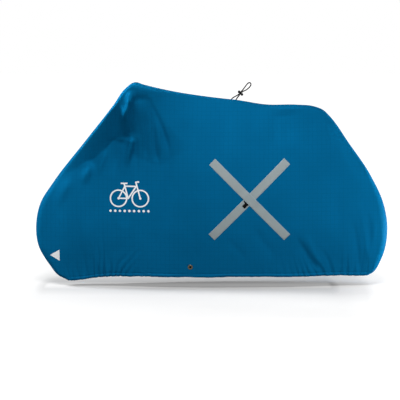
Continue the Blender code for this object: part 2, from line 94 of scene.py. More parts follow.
HEM = (
    # name               x       z
    ("front corner",    -0.722,  0.027),
    ("front lift",      -0.640,  0.037),
    ("front wheel",     -0.560,  0.050),
    ("front bottom",    -0.400,  0.057),
    ("middle",          -0.100,  0.058),
    ("middle rear",      0.150,  0.060),
    ("rear bottom",      0.440,  0.057),
    ("rear wheel",       0.620,  0.059),
    ("tail lift",        0.720,  0.055),
    ("tail corner",      0.784,  0.054),
)

# Hem points and the seam points from which the sheet's columns run down to them.
TIES = (
    # hem x    seam point
    (-0.722,  "front corner"),
    (-0.470,  "bar rise"),
    (-0.290,  "bar rear"),
    (0.520,   "rear corner"),
    (0.784,   "tail corner"),
)

# Half-widths of the cover at shares of the height from hem to seam, and how far below the
# seam the cloth has turned over into its side.
LEVELS = (0.0, 0.30, 0.60, 0.85, 1.0)
LEAST_HEIGHT = 0.05         # from which the shares are counted at the two corners
SEAM_STEPS = 420            # points by which distances from the seam are measured
SECTIONS = (
    # x       drop    hem     low     middle  upper   ridge
    (-0.880,  0.030,  0.030,  0.030,  0.030,  0.030,  0.030),
    (-0.800,  0.032,  0.034,  0.044,  0.046,  0.042,  0.036),
    (-0.700,  0.032,  0.042,  0.076,  0.086,  0.080,  0.068),
    (-0.600,  0.030,  0.056,  0.106,  0.122,  0.124,  0.130),
    (-0.500,  0.024,  0.072,  0.130,  0.154,  0.180,  0.212),
    (-0.425,  0.015,  0.088,  0.148,  0.176,  0.226,  0.264),
    (-0.390,  0.012,  0.096,  0.158,  0.186,  0.240,  0.272),
    (-0.355,  0.013,  0.104,  0.166,  0.194,  0.240,  0.264),
    (-0.300,  0.015,  0.116,  0.176,  0.202,  0.222,  0.216),
    (-0.230,  0.015,  0.128,  0.184,  0.204,  0.186,  0.136),
    (-0.150,  0.013,  0.136,  0.190,  0.200,  0.156,  0.086),
    (-0.030,  0.012,  0.142,  0.193,  0.193,  0.132,  0.058),
    (0.110,   0.012,  0.140,  0.188,  0.182,  0.118,  0.050),
    (0.260,   0.014,  0.132,  0.176,  0.166,  0.108,  0.056),
    (0.420,   0.020,  0.112,  0.154,  0.146,  0.104,  0.074),
    (0.540,   0.022,  0.086,  0.130,  0.128,  0.096,  0.064),
    (0.660,   0.028,  0.062,  0.098,  0.098,  0.078,  0.042),
    (0.780,   0.030,  0.042,  0.056,  0.058,  0.046,  0.034),
    (0.880,   0.030,  0.030,  0.030,  0.030,  0.030,  0.030),
)

# Folds, listed one by one.  "out" is the height of a ridge, or below zero the depth of a trough;
# "fore" and "aft" are the widths of its two sides, left and right of the path as it runs;
# "crest" rounds its top; "in" and "fade" are the shares of the path over which it starts and
# ends.
FOLDS = (
    # name, path, out, fore, aft, crest, in, fade
    ("grip end", ((-0.394, 0.985), (-0.395, 0.955), (-0.400, 0.905)),
     0.027, 0.010, 0.014, 0.005, 0.40, 0.45),
    ("bar streak", ((-0.393, 0.960), (-0.399, 0.920), (-0.413, 0.888), (-0.438, 0.832)),
     0.023, 0.008, 0.013, 0.004, 0.30, 0.50),
    ("groove behind it", ((-0.380, 0.955), (-0.382, 0.900), (-0.388, 0.820), (-0.392, 0.745)),
     -0.012, 0.018, 0.012, 0.004, 0.10, 0.15),
    ("ridge under the pocket", ((-0.396, 0.754), (-0.400, 0.715), (-0.408, 0.675), (-0.426, 0.590)),
     0.032, 0.012, 0.012, 0.004, 0.15, 0.65),
    ("trough before it", ((-0.440, 0.742), (-0.452, 0.690), (-0.470, 0.620), (-0.492, 0.545)),
     -0.012, 0.012, 0.034, 0.005, 0.10, 0.50),
    ("trough beside it", ((-0.374, 0.760), (-0.380, 0.702), (-0.393, 0.602)),
     -0.009, 0.012, 0.014, 0.004, 0.30, 0.50),
    ("band behind the grip", ((-0.385, 0.950), (-0.345, 0.944), (-0.305, 0.934), (-0.270, 0.915)),
     -0.011, 0.012, 0.020, 0.006, 0.15, 0.50),
    ("fan 1", ((-0.357, 0.900), (-0.355, 0.801), (-0.353, 0.707)), -0.007, 0.008, 0.010, 0.003, 0.40, 0.35),
    ("fan 2", ((-0.323, 0.909), (-0.318, 0.801), (-0.324, 0.643)), -0.010, 0.008, 0.010, 0.003, 0.35, 0.20),
    ("fan 3", ((-0.304, 0.919), (-0.289, 0.816), (-0.280, 0.717), (-0.265, 0.619)),
     -0.011, 0.008, 0.011, 0.003, 0.30, 0.15),
    ("fan 4", ((-0.277, 0.860), (-0.257, 0.760), (-0.245, 0.660)), 0.007, 0.010, 0.012, 0.003, 0.35, 0.30),
    ("fan 5", ((-0.312, 0.944), (-0.262, 0.837), (-0.225, 0.739), (-0.206, 0.651)),
     -0.012, 0.008, 0.024, 0.004, 0.15, 0.35),
    ("light groove", ((-0.149, 0.847), (-0.114, 0.779), (-0.070, 0.691)),
     -0.006, 0.018, 0.024, 0.008, 0.40, 0.50),
    ("slope ridge 1", ((-0.592, 0.628), (-0.610, 0.580), (-0.638, 0.505)),
     0.026, 0.015, 0.022, 0.006, 0.35, 0.60),
    ("slope ridge 2", ((-0.520, 0.695), (-0.541, 0.630), (-0.572, 0.540)),
     0.012, 0.012, 0.015, 0.005, 0.30, 0.60),
    ("slope ridge 3", ((-0.694, 0.546), (-0.730, 0.485), (-0.766, 0.404)),
     0.009, 0.020, 0.026, 0.008, 0.30, 0.60),
    ("slope trough", ((-0.572, 0.669), (-0.592, 0.608), (-0.633, 0.518)),
     -0.007, 0.012, 0.016, 0.005, 0.30, 0.60),
    ("wheel side 1", ((-0.563, 0.460), (-0.603, 0.370), (-0.654, 0.258)),
     -0.007, 0.030, 0.034, 0.012, 0.40, 0.50),
    ("wheel side 2", ((-0.424, 0.368), (-0.434, 0.268), (-0.455, 0.161)),
     0.005, 0.026, 0.026, 0.010, 0.40, 0.50),
    ("wheel side 3", ((-0.329, 0.495), (-0.354, 0.345), (-0.375, 0.193)),
     -0.005, 0.030, 0.034, 0.012, 0.40, 0.50),
    ("saddle drop 1", ((0.312, 0.893), (0.311, 0.786), (0.314, 0.649)),
     -0.0048, 0.016, 0.022, 0.006, 0.20, 0.60),
    ("saddle drop 2", ((0.350, 0.885), (0.366, 0.800), (0.385, 0.690)),
     -0.010, 0.050, 0.030, 0.010, 0.20, 0.50),
    ("saddle drop 3", ((0.475, 0.874), (0.484, 0.775), (0.497, 0.638)),
     -0.0049, 0.018, 0.024, 0.007, 0.25, 0.60),
    ("saddle drop 4", ((0.545, 0.844), (0.574, 0.745), (0.612, 0.612)),
     0.005, 0.016, 0.022, 0.006, 0.25, 0.60),
    ("middle soft 1", ((0.064, 0.884), (0.048, 0.738), (0.038, 0.593)),
     -0.004, 0.030, 0.034, 0.012, 0.30, 0.50),
    ("middle soft 2", ((-0.035, 0.690), (-0.045, 0.496), (-0.036, 0.273)),
     0.004, 0.040, 0.044, 0.016, 0.40, 0.40),
    ("tape diagonal", ((0.062, 0.268), (0.117, 0.208), (0.176, 0.137)),
     -0.0030, 0.014, 0.018, 0.005, 0.40, 0.40),
    ("low diagonal 1", ((0.185, 0.337), (0.244, 0.247), (0.319, 0.145)),
     -0.0036, 0.016, 0.020, 0.006, 0.40, 0.40),
    ("low diagonal 2", ((0.412, 0.265), (0.463, 0.183), (0.529, 0.080)),
     -0.0085, 0.010, 0.016, 0.004, 0.35, 0.20),
    ("low ridge", ((0.455, 0.284), (0.492, 0.192), (0.553, 0.090)),
     0.0062, 0.012, 0.016, 0.005, 0.35, 0.30),
    ("tail trough 1", ((0.700, 0.345), (0.718, 0.223), (0.737, 0.070)),
     -0.0070, 0.011, 0.015, 0.004, 0.35, 0.20),
    ("tail ridge 1", ((0.732, 0.405), (0.746, 0.350), (0.764, 0.235), (0.777, 0.125)),
     0.0062, 0.010, 0.013, 0.004, 0.35, 0.25),
    ("tail trough 2", ((0.772, 0.380), (0.784, 0.300), (0.788, 0.215)),
     -0.0045, 0.009, 0.012, 0.004, 0.35, 0.40),
    ("tail ridge 2", ((0.818, 0.340), (0.802, 0.238), (0.772, 0.100)),
     0.0055, 0.009, 0.011, 0.004, 0.35, 0.25),
    ("tail soft", ((0.607, 0.513), (0.621, 0.390), (0.622, 0.240)),
     -0.005, 0.024, 0.028, 0.010, 0.40, 0.40),
)

# Broad hollows under the front top corner.  They deepen from their top down to their floor,
# and come out again over the height "rise" under it.  Above its top the cloth stands out
# by OVERHANG of the depth.
HOLLOWS = (
    # name, start, power, rows: "start" is the share of its height over which it bends in at
    # the top, and a power above 1 makes it steepest there
    ("pocket under the grip", 0.24, 1.0, (
        # x       floor   rise    top     depth
        (-0.745,  0.550,  0.150,  0.585,  0.000),
        (-0.700,  0.580,  0.200,  0.645,  0.009),
        (-0.660,  0.602,  0.280,  0.690,  0.023),
        (-0.628,  0.624,  0.380,  0.735,  0.035),
        (-0.600,  0.634,  0.450,  0.770,  0.043),
        (-0.565,  0.658,  0.540,  0.820,  0.051),
        (-0.525,  0.692,  0.600,  0.880,  0.058),
        (-0.490,  0.732,  0.640,  0.930,  0.061),
        (-0.466,  0.748,  0.660,  0.950,  0.063),
        (-0.446,  0.751,  0.660,  0.935,  0.063),
        (-0.434,  0.752,  0.660,  0.900,  0.063),
        (-0.422,  0.752,  0.660,  0.876,  0.061),
        (-0.410,  0.752,  0.660,  0.868,  0.052),
        (-0.398,  0.748,  0.640,  0.890,  0.036),
        (-0.384,  0.744,  0.600,  0.930,  0.018),
        (-0.368,  0.742,  0.540,  0.950,  0.006),
        (-0.355,  0.740,  0.450,  0.955,  0.000),
    )),
    ("under the bar", 0.10, 1.25, (
        # x       floor   rise    top     depth
        (-0.435,  0.745,  0.600,  0.955,  0.000),
        (-0.415,  0.700,  0.600,  0.955,  0.010),
        (-0.395,  0.668,  0.580,  0.955,  0.030),
        (-0.370,  0.648,  0.560,  0.960,  0.054),
        (-0.340,  0.638,  0.560,  0.965,  0.063),
        (-0.310,  0.626,  0.560,  0.960,  0.063),
        (-0.280,  0.618,  0.560,  0.945,  0.059),
        (-0.255,  0.614,  0.550,  0.920,  0.054),
        (-0.232,  0.622,  0.540,  0.880,  0.046),
        (-0.210,  0.636,  0.520,  0.835,  0.036),
        (-0.190,  0.652,  0.500,  0.795,  0.025),
        (-0.160,  0.670,  0.480,  0.755,  0.012),
        (-0.090,  0.690,  0.440,  0.740,  0.000),
    )),
)
OVERHANG = 0.15
HOLLOW_EDGE = 0.014         # stretch beside the seam over which the hollows come in
FOLD_EDGE = 0.030           # the same for folds, gathers and unevenness
FOLD_REACH = 4.0            # how many of its widths away a fold is still worked out
FOLD_STEP = 0.012           # length of the stretches into which a fold's path is cut
FOLD_FALL = 1.35            # power with which a fold falls off across its path
FOLD_LEFT = 0.10            # share of its height that a fold keeps at its two ends

# How tightly the cloth turns over the seam: the share of the drop that is given above.
TURNS = (
    # x       reach
    (-0.880,  1.00),
    (-0.830,  1.00),
    (-0.760,  0.50),
    (-0.700,  0.35),
    (-0.500,  0.35),
    (-0.440,  0.80),
    (-0.300,  0.90),
    (-0.200,  0.80),
    (0.250,   0.80),
    (0.500,   0.90),
    (0.570,   0.50),
    (0.620,   0.30),
    (0.760,   0.30),
    (0.830,   1.20),
    (0.880,   1.50),
)

# Gathers that the elastic draws in the hem, read between the rows.  "lean" is how far a
# pleat moves to the rear for each metre that it rises.
GATHERS = (
    # hem x    depth   height  pitch   lean
    (-0.722,   0.0020, 0.050,  0.024,  -0.30),
    (-0.640,   0.0050, 0.080,  0.030,  -0.15),
    (-0.520,   0.0055, 0.085,  0.036,   0.00),
    (-0.430,   0.0050, 0.080,  0.036,   0.50),
    (-0.360,   0.0035, 0.060,  0.034,   0.70),
    (-0.250,   0.0016, 0.035,  0.030,   0.20),
    (0.100,    0.0014, 0.030,  0.034,   0.00),
    (0.400,    0.0020, 0.045,  0.034,  -0.40),
    (0.500,    0.0050, 0.075,  0.034,  -0.60),
    (0.600,    0.0050, 0.080,  0.032,  -0.20),
    (0.680,    0.0055, 0.085,  0.028,   0.00),
    (0.740,    0.0045, 0.080,  0.024,   0.12),
    (0.784,    0.0015, 0.040,  0.022,   0.15),
)

SWAY = 0.006                # how far a pleat wanders sideways
PITCH_SPREAD = 0.38         # share by which the pleats' pitch varies
HEIGHT_SPREAD = 0.55        # and their height
DEPTH_MEAN = 0.75           # depth of the pleats, as a share, and how far it varies
DEPTH_SPREAD = 0.45
SECOND_WAVE = (0.30, 1.1)   # a second wave on each pleat: its share and its place
PLEAT_FALL = 1.5            # power with which a pleat fades upwards
RUFFLE = (0.0011, 2.7, 0.026)   # in the casing: depth, waves for each pleat, height
CASING_FULL = 0.0026        # how far the casing stands out round the elastic
CASING_DRAWN = 0.0012       # how far its stitch line draws in, and over what height
CASING_LINE = 0.0022
CASING_INSIDE = 0.0012      # from the outer side to the turned-in one: at its edges, and
CASING_DEEP = 0.0022        # how much more in the middle
UNEVENNESS = (
    # depth   size   seed  drawn out upwards
    (0.0013, 0.085,  6,    2.2),
    (0.0006, 0.034,  7,    1.5),
)
PUCKERS = (0.0005, 0.012, 8)    # beside the seam: depth, size, seed
HEM_WAVES = (
    # rise    size   seed
    (0.0014, 0.055,  9),
    (0.0008, 0.018, 10),
)
HEM_WAVE_HEIGHT = 0.05      # up to which the hem's waves move the cloth

# Rows of the sheet: distances below the seam, then evenly spaced, then distances above the
# hem, then the turned-in side of the casing.
SHEET_COLUMNS = 300
SEAM_ROWS = (0.0, 0.0012, 0.0028, 0.0045, 0.0065, 0.009, 0.012, 0.016, 0.021, 0.027, 0.034, 0.042, 0.052)
MIDDLE_ROWS = 106
HEM_ROWS = (0.050, 0.044, 0.038, 0.033, 0.028, 0.024, 0.0205, 0.018, 0.016, 0.014, 0.011, 0.008, 0.005,
            0.0022, 0.0)
INSIDE_ROWS = (0.002, 0.005, 0.009, 0.013)
STITCH_ROW = 0.016          # height of the hem's stitch line
FULL_LINE = 0.35            # shorter columns, at the two corners, have closer rows
LEFT_SEED = 11              # of the gathers and the unevenness
RIGHT_SEED = 37
NEAR_STITCHES = 0.0028      # rows of the seam that carry its stitches
FAR_STITCHES = 0.009
STITCH_LIFT = 0.00005

TAPE_WIDTH = 0.0415
TAPE_LENGTH = 0.525
TAPE_CENTRE = (0.184, 0.446)
TAPE_ANGLE = math.radians(45.3)
RISING_CENTRE = (0.1825, 0.4475)
RISING_ANGLE = math.radians(44.95)
TAPE_LIFT = 0.0008
TAPE_THICKNESS = 0.0008
TAPE_STEPS = (150, 14)      # faces along and across
TAPE_EDGE = 0.00035         # how far a strip's two long edges dip, and the power of the dip
TAPE_EDGE_POWER = 8
TAPE_BEVEL = 0.25           # of its thickness
HUMP_SPARE = 0.0004         # room over the tab for the upper strip
HUMP_FLAT = 0.003           # how far beyond the lower strip the upper one stays up
HUMP_REACH = 0.030          # and over what length it comes down
STITCH_INSET = 0.0030       # from a strip's edge to its stitches
THREAD_LIFT = 0.0002

TAB_STEPS = (34, 12)
TAB_WIDTH = 0.0175
TAB_BASE = 0.032            # width of its foot, which the falling strip holds
TAB_BASE_SHIFT = 0.0055     # of the foot to one side
TAB_BASE_OUT = 0.0070       # how far the foot shows
TAB_NECK = 0.002            # length over which the foot narrows to the tab
TAB_OUT = 0.0275            # how far the tab shows, and lies under the strip
TAB_UNDER = 0.018
TAB_THICKNESS = 0.0012
TAB_SHIFT = -0.0030         # of the tab off the rising strip's middle

EYELET_X = -0.108
EYELET_Z = 0.110
EYELET_HOLE = 0.0055
EYELET_BARREL = 0.0062
EYELET_FLANGE = 0.0125
EYELET_LIP = 0.0011
EYELET_CUT = 0.0088         # radius of the hole in the sheet, which the flange covers
EYELET_PULL = 0.05          # how far round it the sheet's rows give way
FLAT_INNER = 0.030          # the cloth is flat up to here, and free beyond the outer one
FLAT_OUTER = 0.075
PLANE_STEP = 0.02           # to the points from which the flat's slopes are read
ROLL_STEPS = 12             # faces over the flange's rolled section
ROLL_POWER = 0.7            # 1 makes the roll round, and less makes it flatter on top
EYELET_PLAY = 0.00005       # between the flange and the cloth

CORD_DIAMETER = 0.0058
CORD_SQUEEZED = 0.0050      # inside the lock
LOCK_CENTRE = (0.1415, -0.006, 0.963)
LOCK_LEAN = math.radians(47.0)
STRAND_SPACING = 0.0054
CORD_ROUTE = (
    # up from the cloth
    (0.0970, -0.006, 0.9334),
    (0.1030, -0.006, 0.9392),
    (0.1120, -0.006, 0.9450),
    (0.1220, -0.006, 0.9503),
    # through the lock
    (0.1313, -0.006, 0.9561),
    (0.1368, -0.006, 0.9619),
    (0.1423, -0.006, 0.9678),
    (0.1477, -0.006, 0.9737),
    # round the loop
    (0.1555, -0.006, 0.9830),
    (0.1640, -0.005, 0.9945),
    (0.1725, -0.004, 1.0055),
    (0.1795, -0.004, 1.0125),
    (0.1868, -0.004, 1.0150),
    (0.1925, -0.005, 1.0105),
    (0.1925, -0.006, 1.0030),
    (0.1875, -0.007, 0.9945),
    (0.1790, -0.007, 0.9862),
    (0.1690, -0.007, 0.9785),
    (0.1600, -0.006, 0.9745),
    # back through the lock
    (0.1516, -0.006, 0.9699),
    (0.1462, -0.006, 0.9640),
    (0.1407, -0.006, 0.9582),
    (0.1353, -0.006, 0.9523),
    # down to the cloth
    (0.1296, -0.006, 0.9455),
    (0.1243, -0.006, 0.9384),
    (0.1192, -0.006, 0.9312),
)
CORD_STEP = 0.0012          # from one ring of the cord's points to the next
CORD_SIDES = 16
CORD_IN = 0.0015            # how far each end goes on into the cloth
LOCK_REACH = 0.0075         # from the lock's middle, within which the cord is squeezed
LOCK_EASE = 0.005
BARREL_RADIUS = 0.0052
BALL_RADIUS = 0.0070
BALL_SPACING = 0.0190       # between the centres of the lock's two round ends
LOCK_SPLIT = 0.0062         # where the button meets the barrel, from the lock's middle
FOOT_STEPS = 14
HEAD_STEPS = 18
SLOT_STEPS = 24
SLOT_PLAY = 0.0005
SLOT_HALF = 0.012           # half the length of the cutter
GROOVE = (0.00022, 16.0, 0.4, 1.5)  # rings on the button: depth, pitch, and between which angles

# Prints on the left panel: a plain bicycle sign, a row of dots and an arrowhead.
SIGN_CENTRE = (-0.408, 0.470)
SIGN_STROKE = 0.0036        # half the width of a line
SIGN_WHEEL = 0.0440         # radius
SIGN_LINES = (
    # from x, z         to x, z
    (-0.054, -0.022,   -0.022,  0.038),
    (-0.022,  0.038,    0.034,  0.038),
    (-0.054, -0.022,   -0.006, -0.022),
    (-0.006, -0.022,    0.034,  0.038),
    (-0.006, -0.022,   -0.026,  0.050),
    (0.054,  -0.022,    0.032,  0.058),
    (0.032,   0.058,    0.046,  0.060),
    (-0.040,  0.052,   -0.012,  0.052),
)
SIGN_HUBS = (-0.054, 0.054)
DOT_COUNT = 9
DOT_PITCH = 0.0235
DOT_RADIUS = 0.0062
DOT_Z = 0.386
HUB_Z = -0.022              # of the sign's hubs, from its centre
HUB_RADIUS = 1.6 * SIGN_STROKE
WHEEL_STEPS = 56
HUB_STEPS = 18
DOT_STEPS = 24
PRINT_LIFT = 0.0004
STROKE_END = 0.7            # how far a line goes on past its ends, in half-widths
ARROW = ((-0.808, 0.158), (-0.760, 0.186), (-0.760, 0.130))

# ---------------------------------------------------------------- camera and stage
CAMERA_RISE = math.radians(5.0)
CAMERA_DISTANCE = 9.0
CAMERA_AIM = (-0.060, 0.0, 0.4275 / math.cos(CAMERA_RISE))
FRAME_WIDTH = 2.0           # metres of the picture at the aim
SENSOR_WIDTH = 36.0         # millimetres
FAR_CLIP = 200.0
WHITE = (1.0, 1.0, 1.0, 1.0)
FLOOR_SEEN = (0.45, 0.48)   # the floor's two greys for the camera
FLOOR_BOUNCE = 0.245        # and its grey for the light that it throws back
FLOOR_X = (-40.0, 40.0)
FLOOR_Y = (-30.0, 60.0)
FLOOR_MIDDLE = -0.12        # middle and half the length of the stretch from which distances
FLOOR_HALF = 0.70           # over the floor are counted, those beyond its ends FLOOR_ENDS times
FLOOR_ENDS = 6.0
FLOOR_PAINTED_LIGHT = (
    # distance, painted light that the camera sees on top of the floor's own: least in a band just in front of
    # the cover, where it paints a soft shadow, and more under the cover and far off
    (0.00, 0.310),
    (0.06, 0.250),
    (0.14, 0.150),
    (0.26, 0.220),
    (0.37, 0.300),
    (0.72, 0.350),
    (1.05, 0.400),
    (1.40, 0.580),
    (4.00, 0.850),
    (10.0, 1.000),
)
LIGHTS = (
    # name         place               aimed at              size        share  spread, degrees
    ("key",        (-1.05, -6.3, 6.8), (0.0, 0.0, 0.45),     (4.2, 2.8), 4.86, 180),
    ("top",        (0.6, 0.1, 3.4),    (0.2, 0.0, 0.6),      (2.6, 2.0), 0.06, 180),
    ("left rim",   (-2.8, 0.45, 2.0),  (-0.60, 0.0, 0.7),    (0.6, 1.0), 2.10, 180),
    ("right rim",  (2.6, 0.78, 0.10),  (0.85, 0.0, 0.22),    (0.4, 0.2), 2.30, 180),
    ("tail fill",  (2.0, -1.6, 0.40),  (0.70, 0.0, 0.30),    (0.6, 0.5), 0.07, 180),
    ("tail side",  (1.6, -0.15, 0.15), (0.86, 0.0, 0.20),    (0.3, 0.2), 0.022, 180),
    ("grip fill",  (-1.35, -0.1, 1.6), (-0.40, -0.22, 0.90), (0.45, 0.45), 0.0050, 32),
)


# ---------------------------------------------------------------- settings
class CoverSizes(bpy.types.PropertyGroup):
    """Sizes of the fine work on the cover"""

    cloth: FloatProperty(name="Cloth", description="Thickness of the cloth", default=0.0008,
                         min=0.0002, max=0.003, unit="LENGTH")
    ripstop: FloatProperty(name="Ripstop", description="Pitch of the fine ripstop grid", default=0.0055,
                           min=0.002, max=0.02, unit="LENGTH")
    grid: FloatProperty(name="Strong grid", description="Pitch of the stronger threads", default=0.022,
                        min=0.01, max=0.1, unit="LENGTH")
    stitch_pitch: FloatProperty(name="Stitch pitch", description="From one stitch to the next",
                                default=0.0042, min=0.001, max=0.02, unit="LENGTH")
    stitch_length: FloatProperty(name="Stitch length", description="Length of a stitch that shows",
                                 default=0.0034, min=0.001, max=0.02, unit="LENGTH")
    thread: FloatProperty(name="Thread", description="Thickness of the sewing thread", default=0.0007,
                          min=0.0001, max=0.003, unit="LENGTH")
    turns: IntProperty(name="Turns", description="Faces round the turned pieces", default=48, min=12, max=128)


class CoverColours(bpy.types.PropertyGroup):
    """Colours of the cover"""

    cloth: FloatVectorProperty(name="Cloth", description="Colour of the cloth", subtype="COLOR", size=3,
                               default=(0.001, 0.105, 0.245), min=0.0, max=1.0)
    thread: FloatVectorProperty(name="Thread", description="Colour of the sewing thread", subtype="COLOR",
                                size=3, default=(0.003, 0.070, 0.170), min=0.0, max=1.0)
    tape: FloatVectorProperty(name="Tape", description="Colour of the reflective tape", subtype="COLOR",
                              size=3, default=(0.268, 0.317, 0.328), min=0.0, max=1.0)
    print_ink: FloatVectorProperty(name="Print", description="Colour of the printed signs", subtype="COLOR",
                                   size=3, default=(0.82, 0.84, 0.85), min=0.0, max=1.0)
    webbing: FloatVectorProperty(name="Webbing", description="Colour of the tab", subtype="COLOR", size=3,
                                 default=(0.002, 0.002, 0.002), min=0.0, max=1.0)
    metal: FloatVectorProperty(name="Metal", description="Colour of the eyelets", subtype="COLOR", size=3,
                               default=(0.230, 0.190, 0.120), min=0.0, max=1.0)
    cord: FloatVectorProperty(name="Cord", description="Colour of the drawcord", subtype="COLOR", size=3,
                              default=(0.006, 0.005, 0.005), min=0.0, max=1.0)
    plastic: FloatVectorProperty(name="Lock", description="Colour of the cord lock", subtype="COLOR", size=3,
                                 default=(0.004, 0.004, 0.004), min=0.0, max=1.0)


class StageSettings(bpy.types.PropertyGroup):
    """Light on the stage"""

    ambient: FloatProperty(name="Ambient", description="Strength of the even light", default=0.185, min=0.0,
                           max=5.0)
    key: FloatProperty(name="Key", description="Power of the light above and in front", default=140.0,
                       min=0.0, max=2000.0, subtype="POWER")
    rim: FloatProperty(name="Rims", description="Power of the lights at the two ends", default=40.0,
                       min=0.0, max=2000.0, subtype="POWER")


# ---------------------------------------------------------------- curves and tables
def between(part, span, low, low_slope, high, high_slope):
    """Read a smooth curve at a part of the span between two of its points."""
    square = part * part
    cube = square * part
    return ((2 * cube - 3 * square + 1) * low
            + (cube - 2 * square + part) * span * low_slope
            + (3 * square - 2 * cube) * high
            + (cube - square) * span * high_slope)


def smooth_read(stations, values, at):
    """Read the smooth curve through values, which stand at the given stations."""
    stations = np.asarray(stations, float)
    values = np.asarray(values, float)
    at = np.clip(np.asarray(at, float), stations[0], stations[-1])
    slopes = np.gradient(values, stations, axis=0)
    index = np.clip(np.searchsorted(stations, at, side="right") - 1, 0, len(stations) - 2)
    span = stations[index + 1] - stations[index]
    part = (at - stations[index]) / span
    if values.ndim > 1:
        part = part[..., None]
        span = span[..., None]
    return between(part, span, values[index], slopes[index], values[index + 1], slopes[index + 1])


def chords(points):
    """Distance along a polyline at each of its points."""
    steps = np.linalg.norm(np.diff(points, axis=0), axis=1)
    return np.concatenate(([0.0], np.cumsum(steps)))


def ease(amount):
    """Go from 0 to 1 without a corner."""
    amount = np.clip(amount, 0.0, 1.0)
    return amount * amount * (3.0 - 2.0 * amount)


def distance_to_line(points, start, end):
    """Distance of points from a stretch, how far along it they lie, and on which side."""
    start = np.asarray(start, float)
    run = np.asarray(end, float) - start
    offset = points - start
    along = np.clip((offset @ run) / (run @ run), 0.0, 1.0)
    foot = start + along[..., None] * run
    side = run[0] * offset[..., 1] - run[1] * offset[..., 0]
    return np.linalg.norm(points - foot, axis=-1), along, side


def soft_noise(points, wavelength, seed, stretch=1.0):
    """Smooth unevenness between -1 and 1; stretch above 1 draws it out upwards."""
    table = np.random.RandomState(seed).uniform(-1.0, 1.0, (64, 64))
    place = points / wavelength
    place = np.stack((place[..., 0], place[..., 1] / stretch), axis=-1) + 17.3
    cell = np.floor(place).astype(int)
    part = place - cell
    part = part * part * part * (part * (part * 6.0 - 15.0) + 10.0)
    corner = [table[(cell[..., 0] + i) % 64, (cell[..., 1] + j) % 64] for i in (0, 1) for j in (0, 1)]
    low = corner[0] + part[..., 1] * (corner[1] - corner[0])
    high = corner[2] + part[..., 1] * (corner[3] - corner[2])
    return low + part[..., 0] * (high - low)


SEAM_NAMES = [row[0] for row in SEAM]
SEAM_POINTS = np.array([row[1:] for row in SEAM])
SEAM_CHORDS = chords(SEAM_POINTS)
SEAM_FINE = smooth_read(SEAM_CHORDS, SEAM_POINTS, np.linspace(0, SEAM_CHORDS[-1], SEAM_STEPS))
HEM_X = np.array([row[1] for row in HEM])
HEM_Z = np.array([row[2] for row in HEM])
SECTION_TABLE = np.array(SECTIONS)
TIE_HEM = np.array([row[0] for row in TIES])
TIE_SEAM = np.array([SEAM_CHORDS[SEAM_NAMES.index(row[1])] for row in TIES])
GATHER_TABLE = np.array(GATHERS)
TURN_TABLE = np.array(TURNS)


def seam_distance(points):
    """Distance of side-view points from the ridge seam."""
    nearest = np.full(points.shape[:-1], np.inf)
    for start, end in zip(SEAM_FINE[:-1], SEAM_FINE[1:]):
        nearest = np.minimum(nearest, distance_to_line(points, start, end)[0])
    return nearest


def seam_height(x):
    """Height of the upper side of the seam at x."""
    widest = (int(np.argmin(SEAM_FINE[:, 0])), int(np.argmax(SEAM_FINE[:, 0])))
    top = SEAM_FINE[widest[0]:widest[1] + 1]
    return np.interp(x, top[:, 0], top[:, 1])


ORIGIN = np.array((SADDLE_X, 0.0, float(seam_height(SADDLE_X))))


def to_row(points):
    """Move points from the side view's place to the row's, whose origin is at the mount."""
    return np.asarray(points, float) - ORIGIN


def hem_height(x):
    """Height of the hem at x."""
    return smooth_read(HEM_X, HEM_Z, x)


# ---------------------------------------------------------------- shape of the cloth
def body_width(points, away):
    """Half-width of the cover at side-view points, which lie "away" from the seam."""
    x = points[..., 0]
    z = points[..., 1]
    row = smooth_read(SECTION_TABLE[:, 0], SECTION_TABLE[:, 1:], x)
    base = hem_height(x)
    level = np.clip((z - base) / np.maximum(seam_height(x) - base, LEAST_HEIGHT), 0.0, 1.0)
    widths = row[..., 1:]
    width = np.zeros(x.shape)
    slopes = np.gradient(widths, LEVELS, axis=-1)
    for low, (start, end) in enumerate(zip(LEVELS[:-1], LEVELS[1:])):
        here = (level >= start) & (level <= end)
        part = np.clip((level - start) / (end - start), 0.0, 1.0)
        value = between(part, end - start, widths[..., low], slopes[..., low],
                        widths[..., low + 1], slopes[..., low + 1])
        width = np.where(here, value, width)
    reach = row[..., 0] * np.interp(x, TURN_TABLE[:, 0], TURN_TABLE[:, 1])
    shade = 1.0 - np.minimum(away / reach, 1.0)
    return width * np.sqrt(np.maximum(1.0 - shade * shade, 0.0))


def one_fold(points, path, out, fore, aft, crest, start, fade):
    """Height of one fold over side-view points."""
    path = np.array(path)
    reach = FOLD_REACH * max(fore, aft)
    low = path.min(axis=0) - reach
    high = path.max(axis=0) + reach
    near = np.all((points > low) & (points < high), axis=-1)
    height = np.zeros(points.shape[:-1])
    if not near.any():
        return height
    spot = points[near]
    stations = chords(path)
    count = max(6, int(stations[-1] / FOLD_STEP))
    line = smooth_read(stations, path, np.linspace(0.0, stations[-1], count + 1))
    nearest = np.full(len(spot), np.inf)
    share = np.zeros(len(spot))
    side = np.zeros(len(spot))
    for index in range(count):
        distance, along, turn = distance_to_line(spot, line[index], line[index + 1])
        closer = distance < nearest
        nearest = np.where(closer, distance, nearest)
        share = np.where(closer, (index + along) / count, share)
        side = np.where(closer, turn, side)
    width = np.where(side > 0.0, fore, aft)
    rounded = np.sqrt(nearest ** 2 + crest ** 2) - crest
    profile = np.exp(-(rounded / width) ** FOLD_FALL)
    taper = ease(share / start) * ease((1.0 - share) / fade)
    height[near] = out * (FOLD_LEFT + (1.0 - FOLD_LEFT) * taper) * profile
    return height


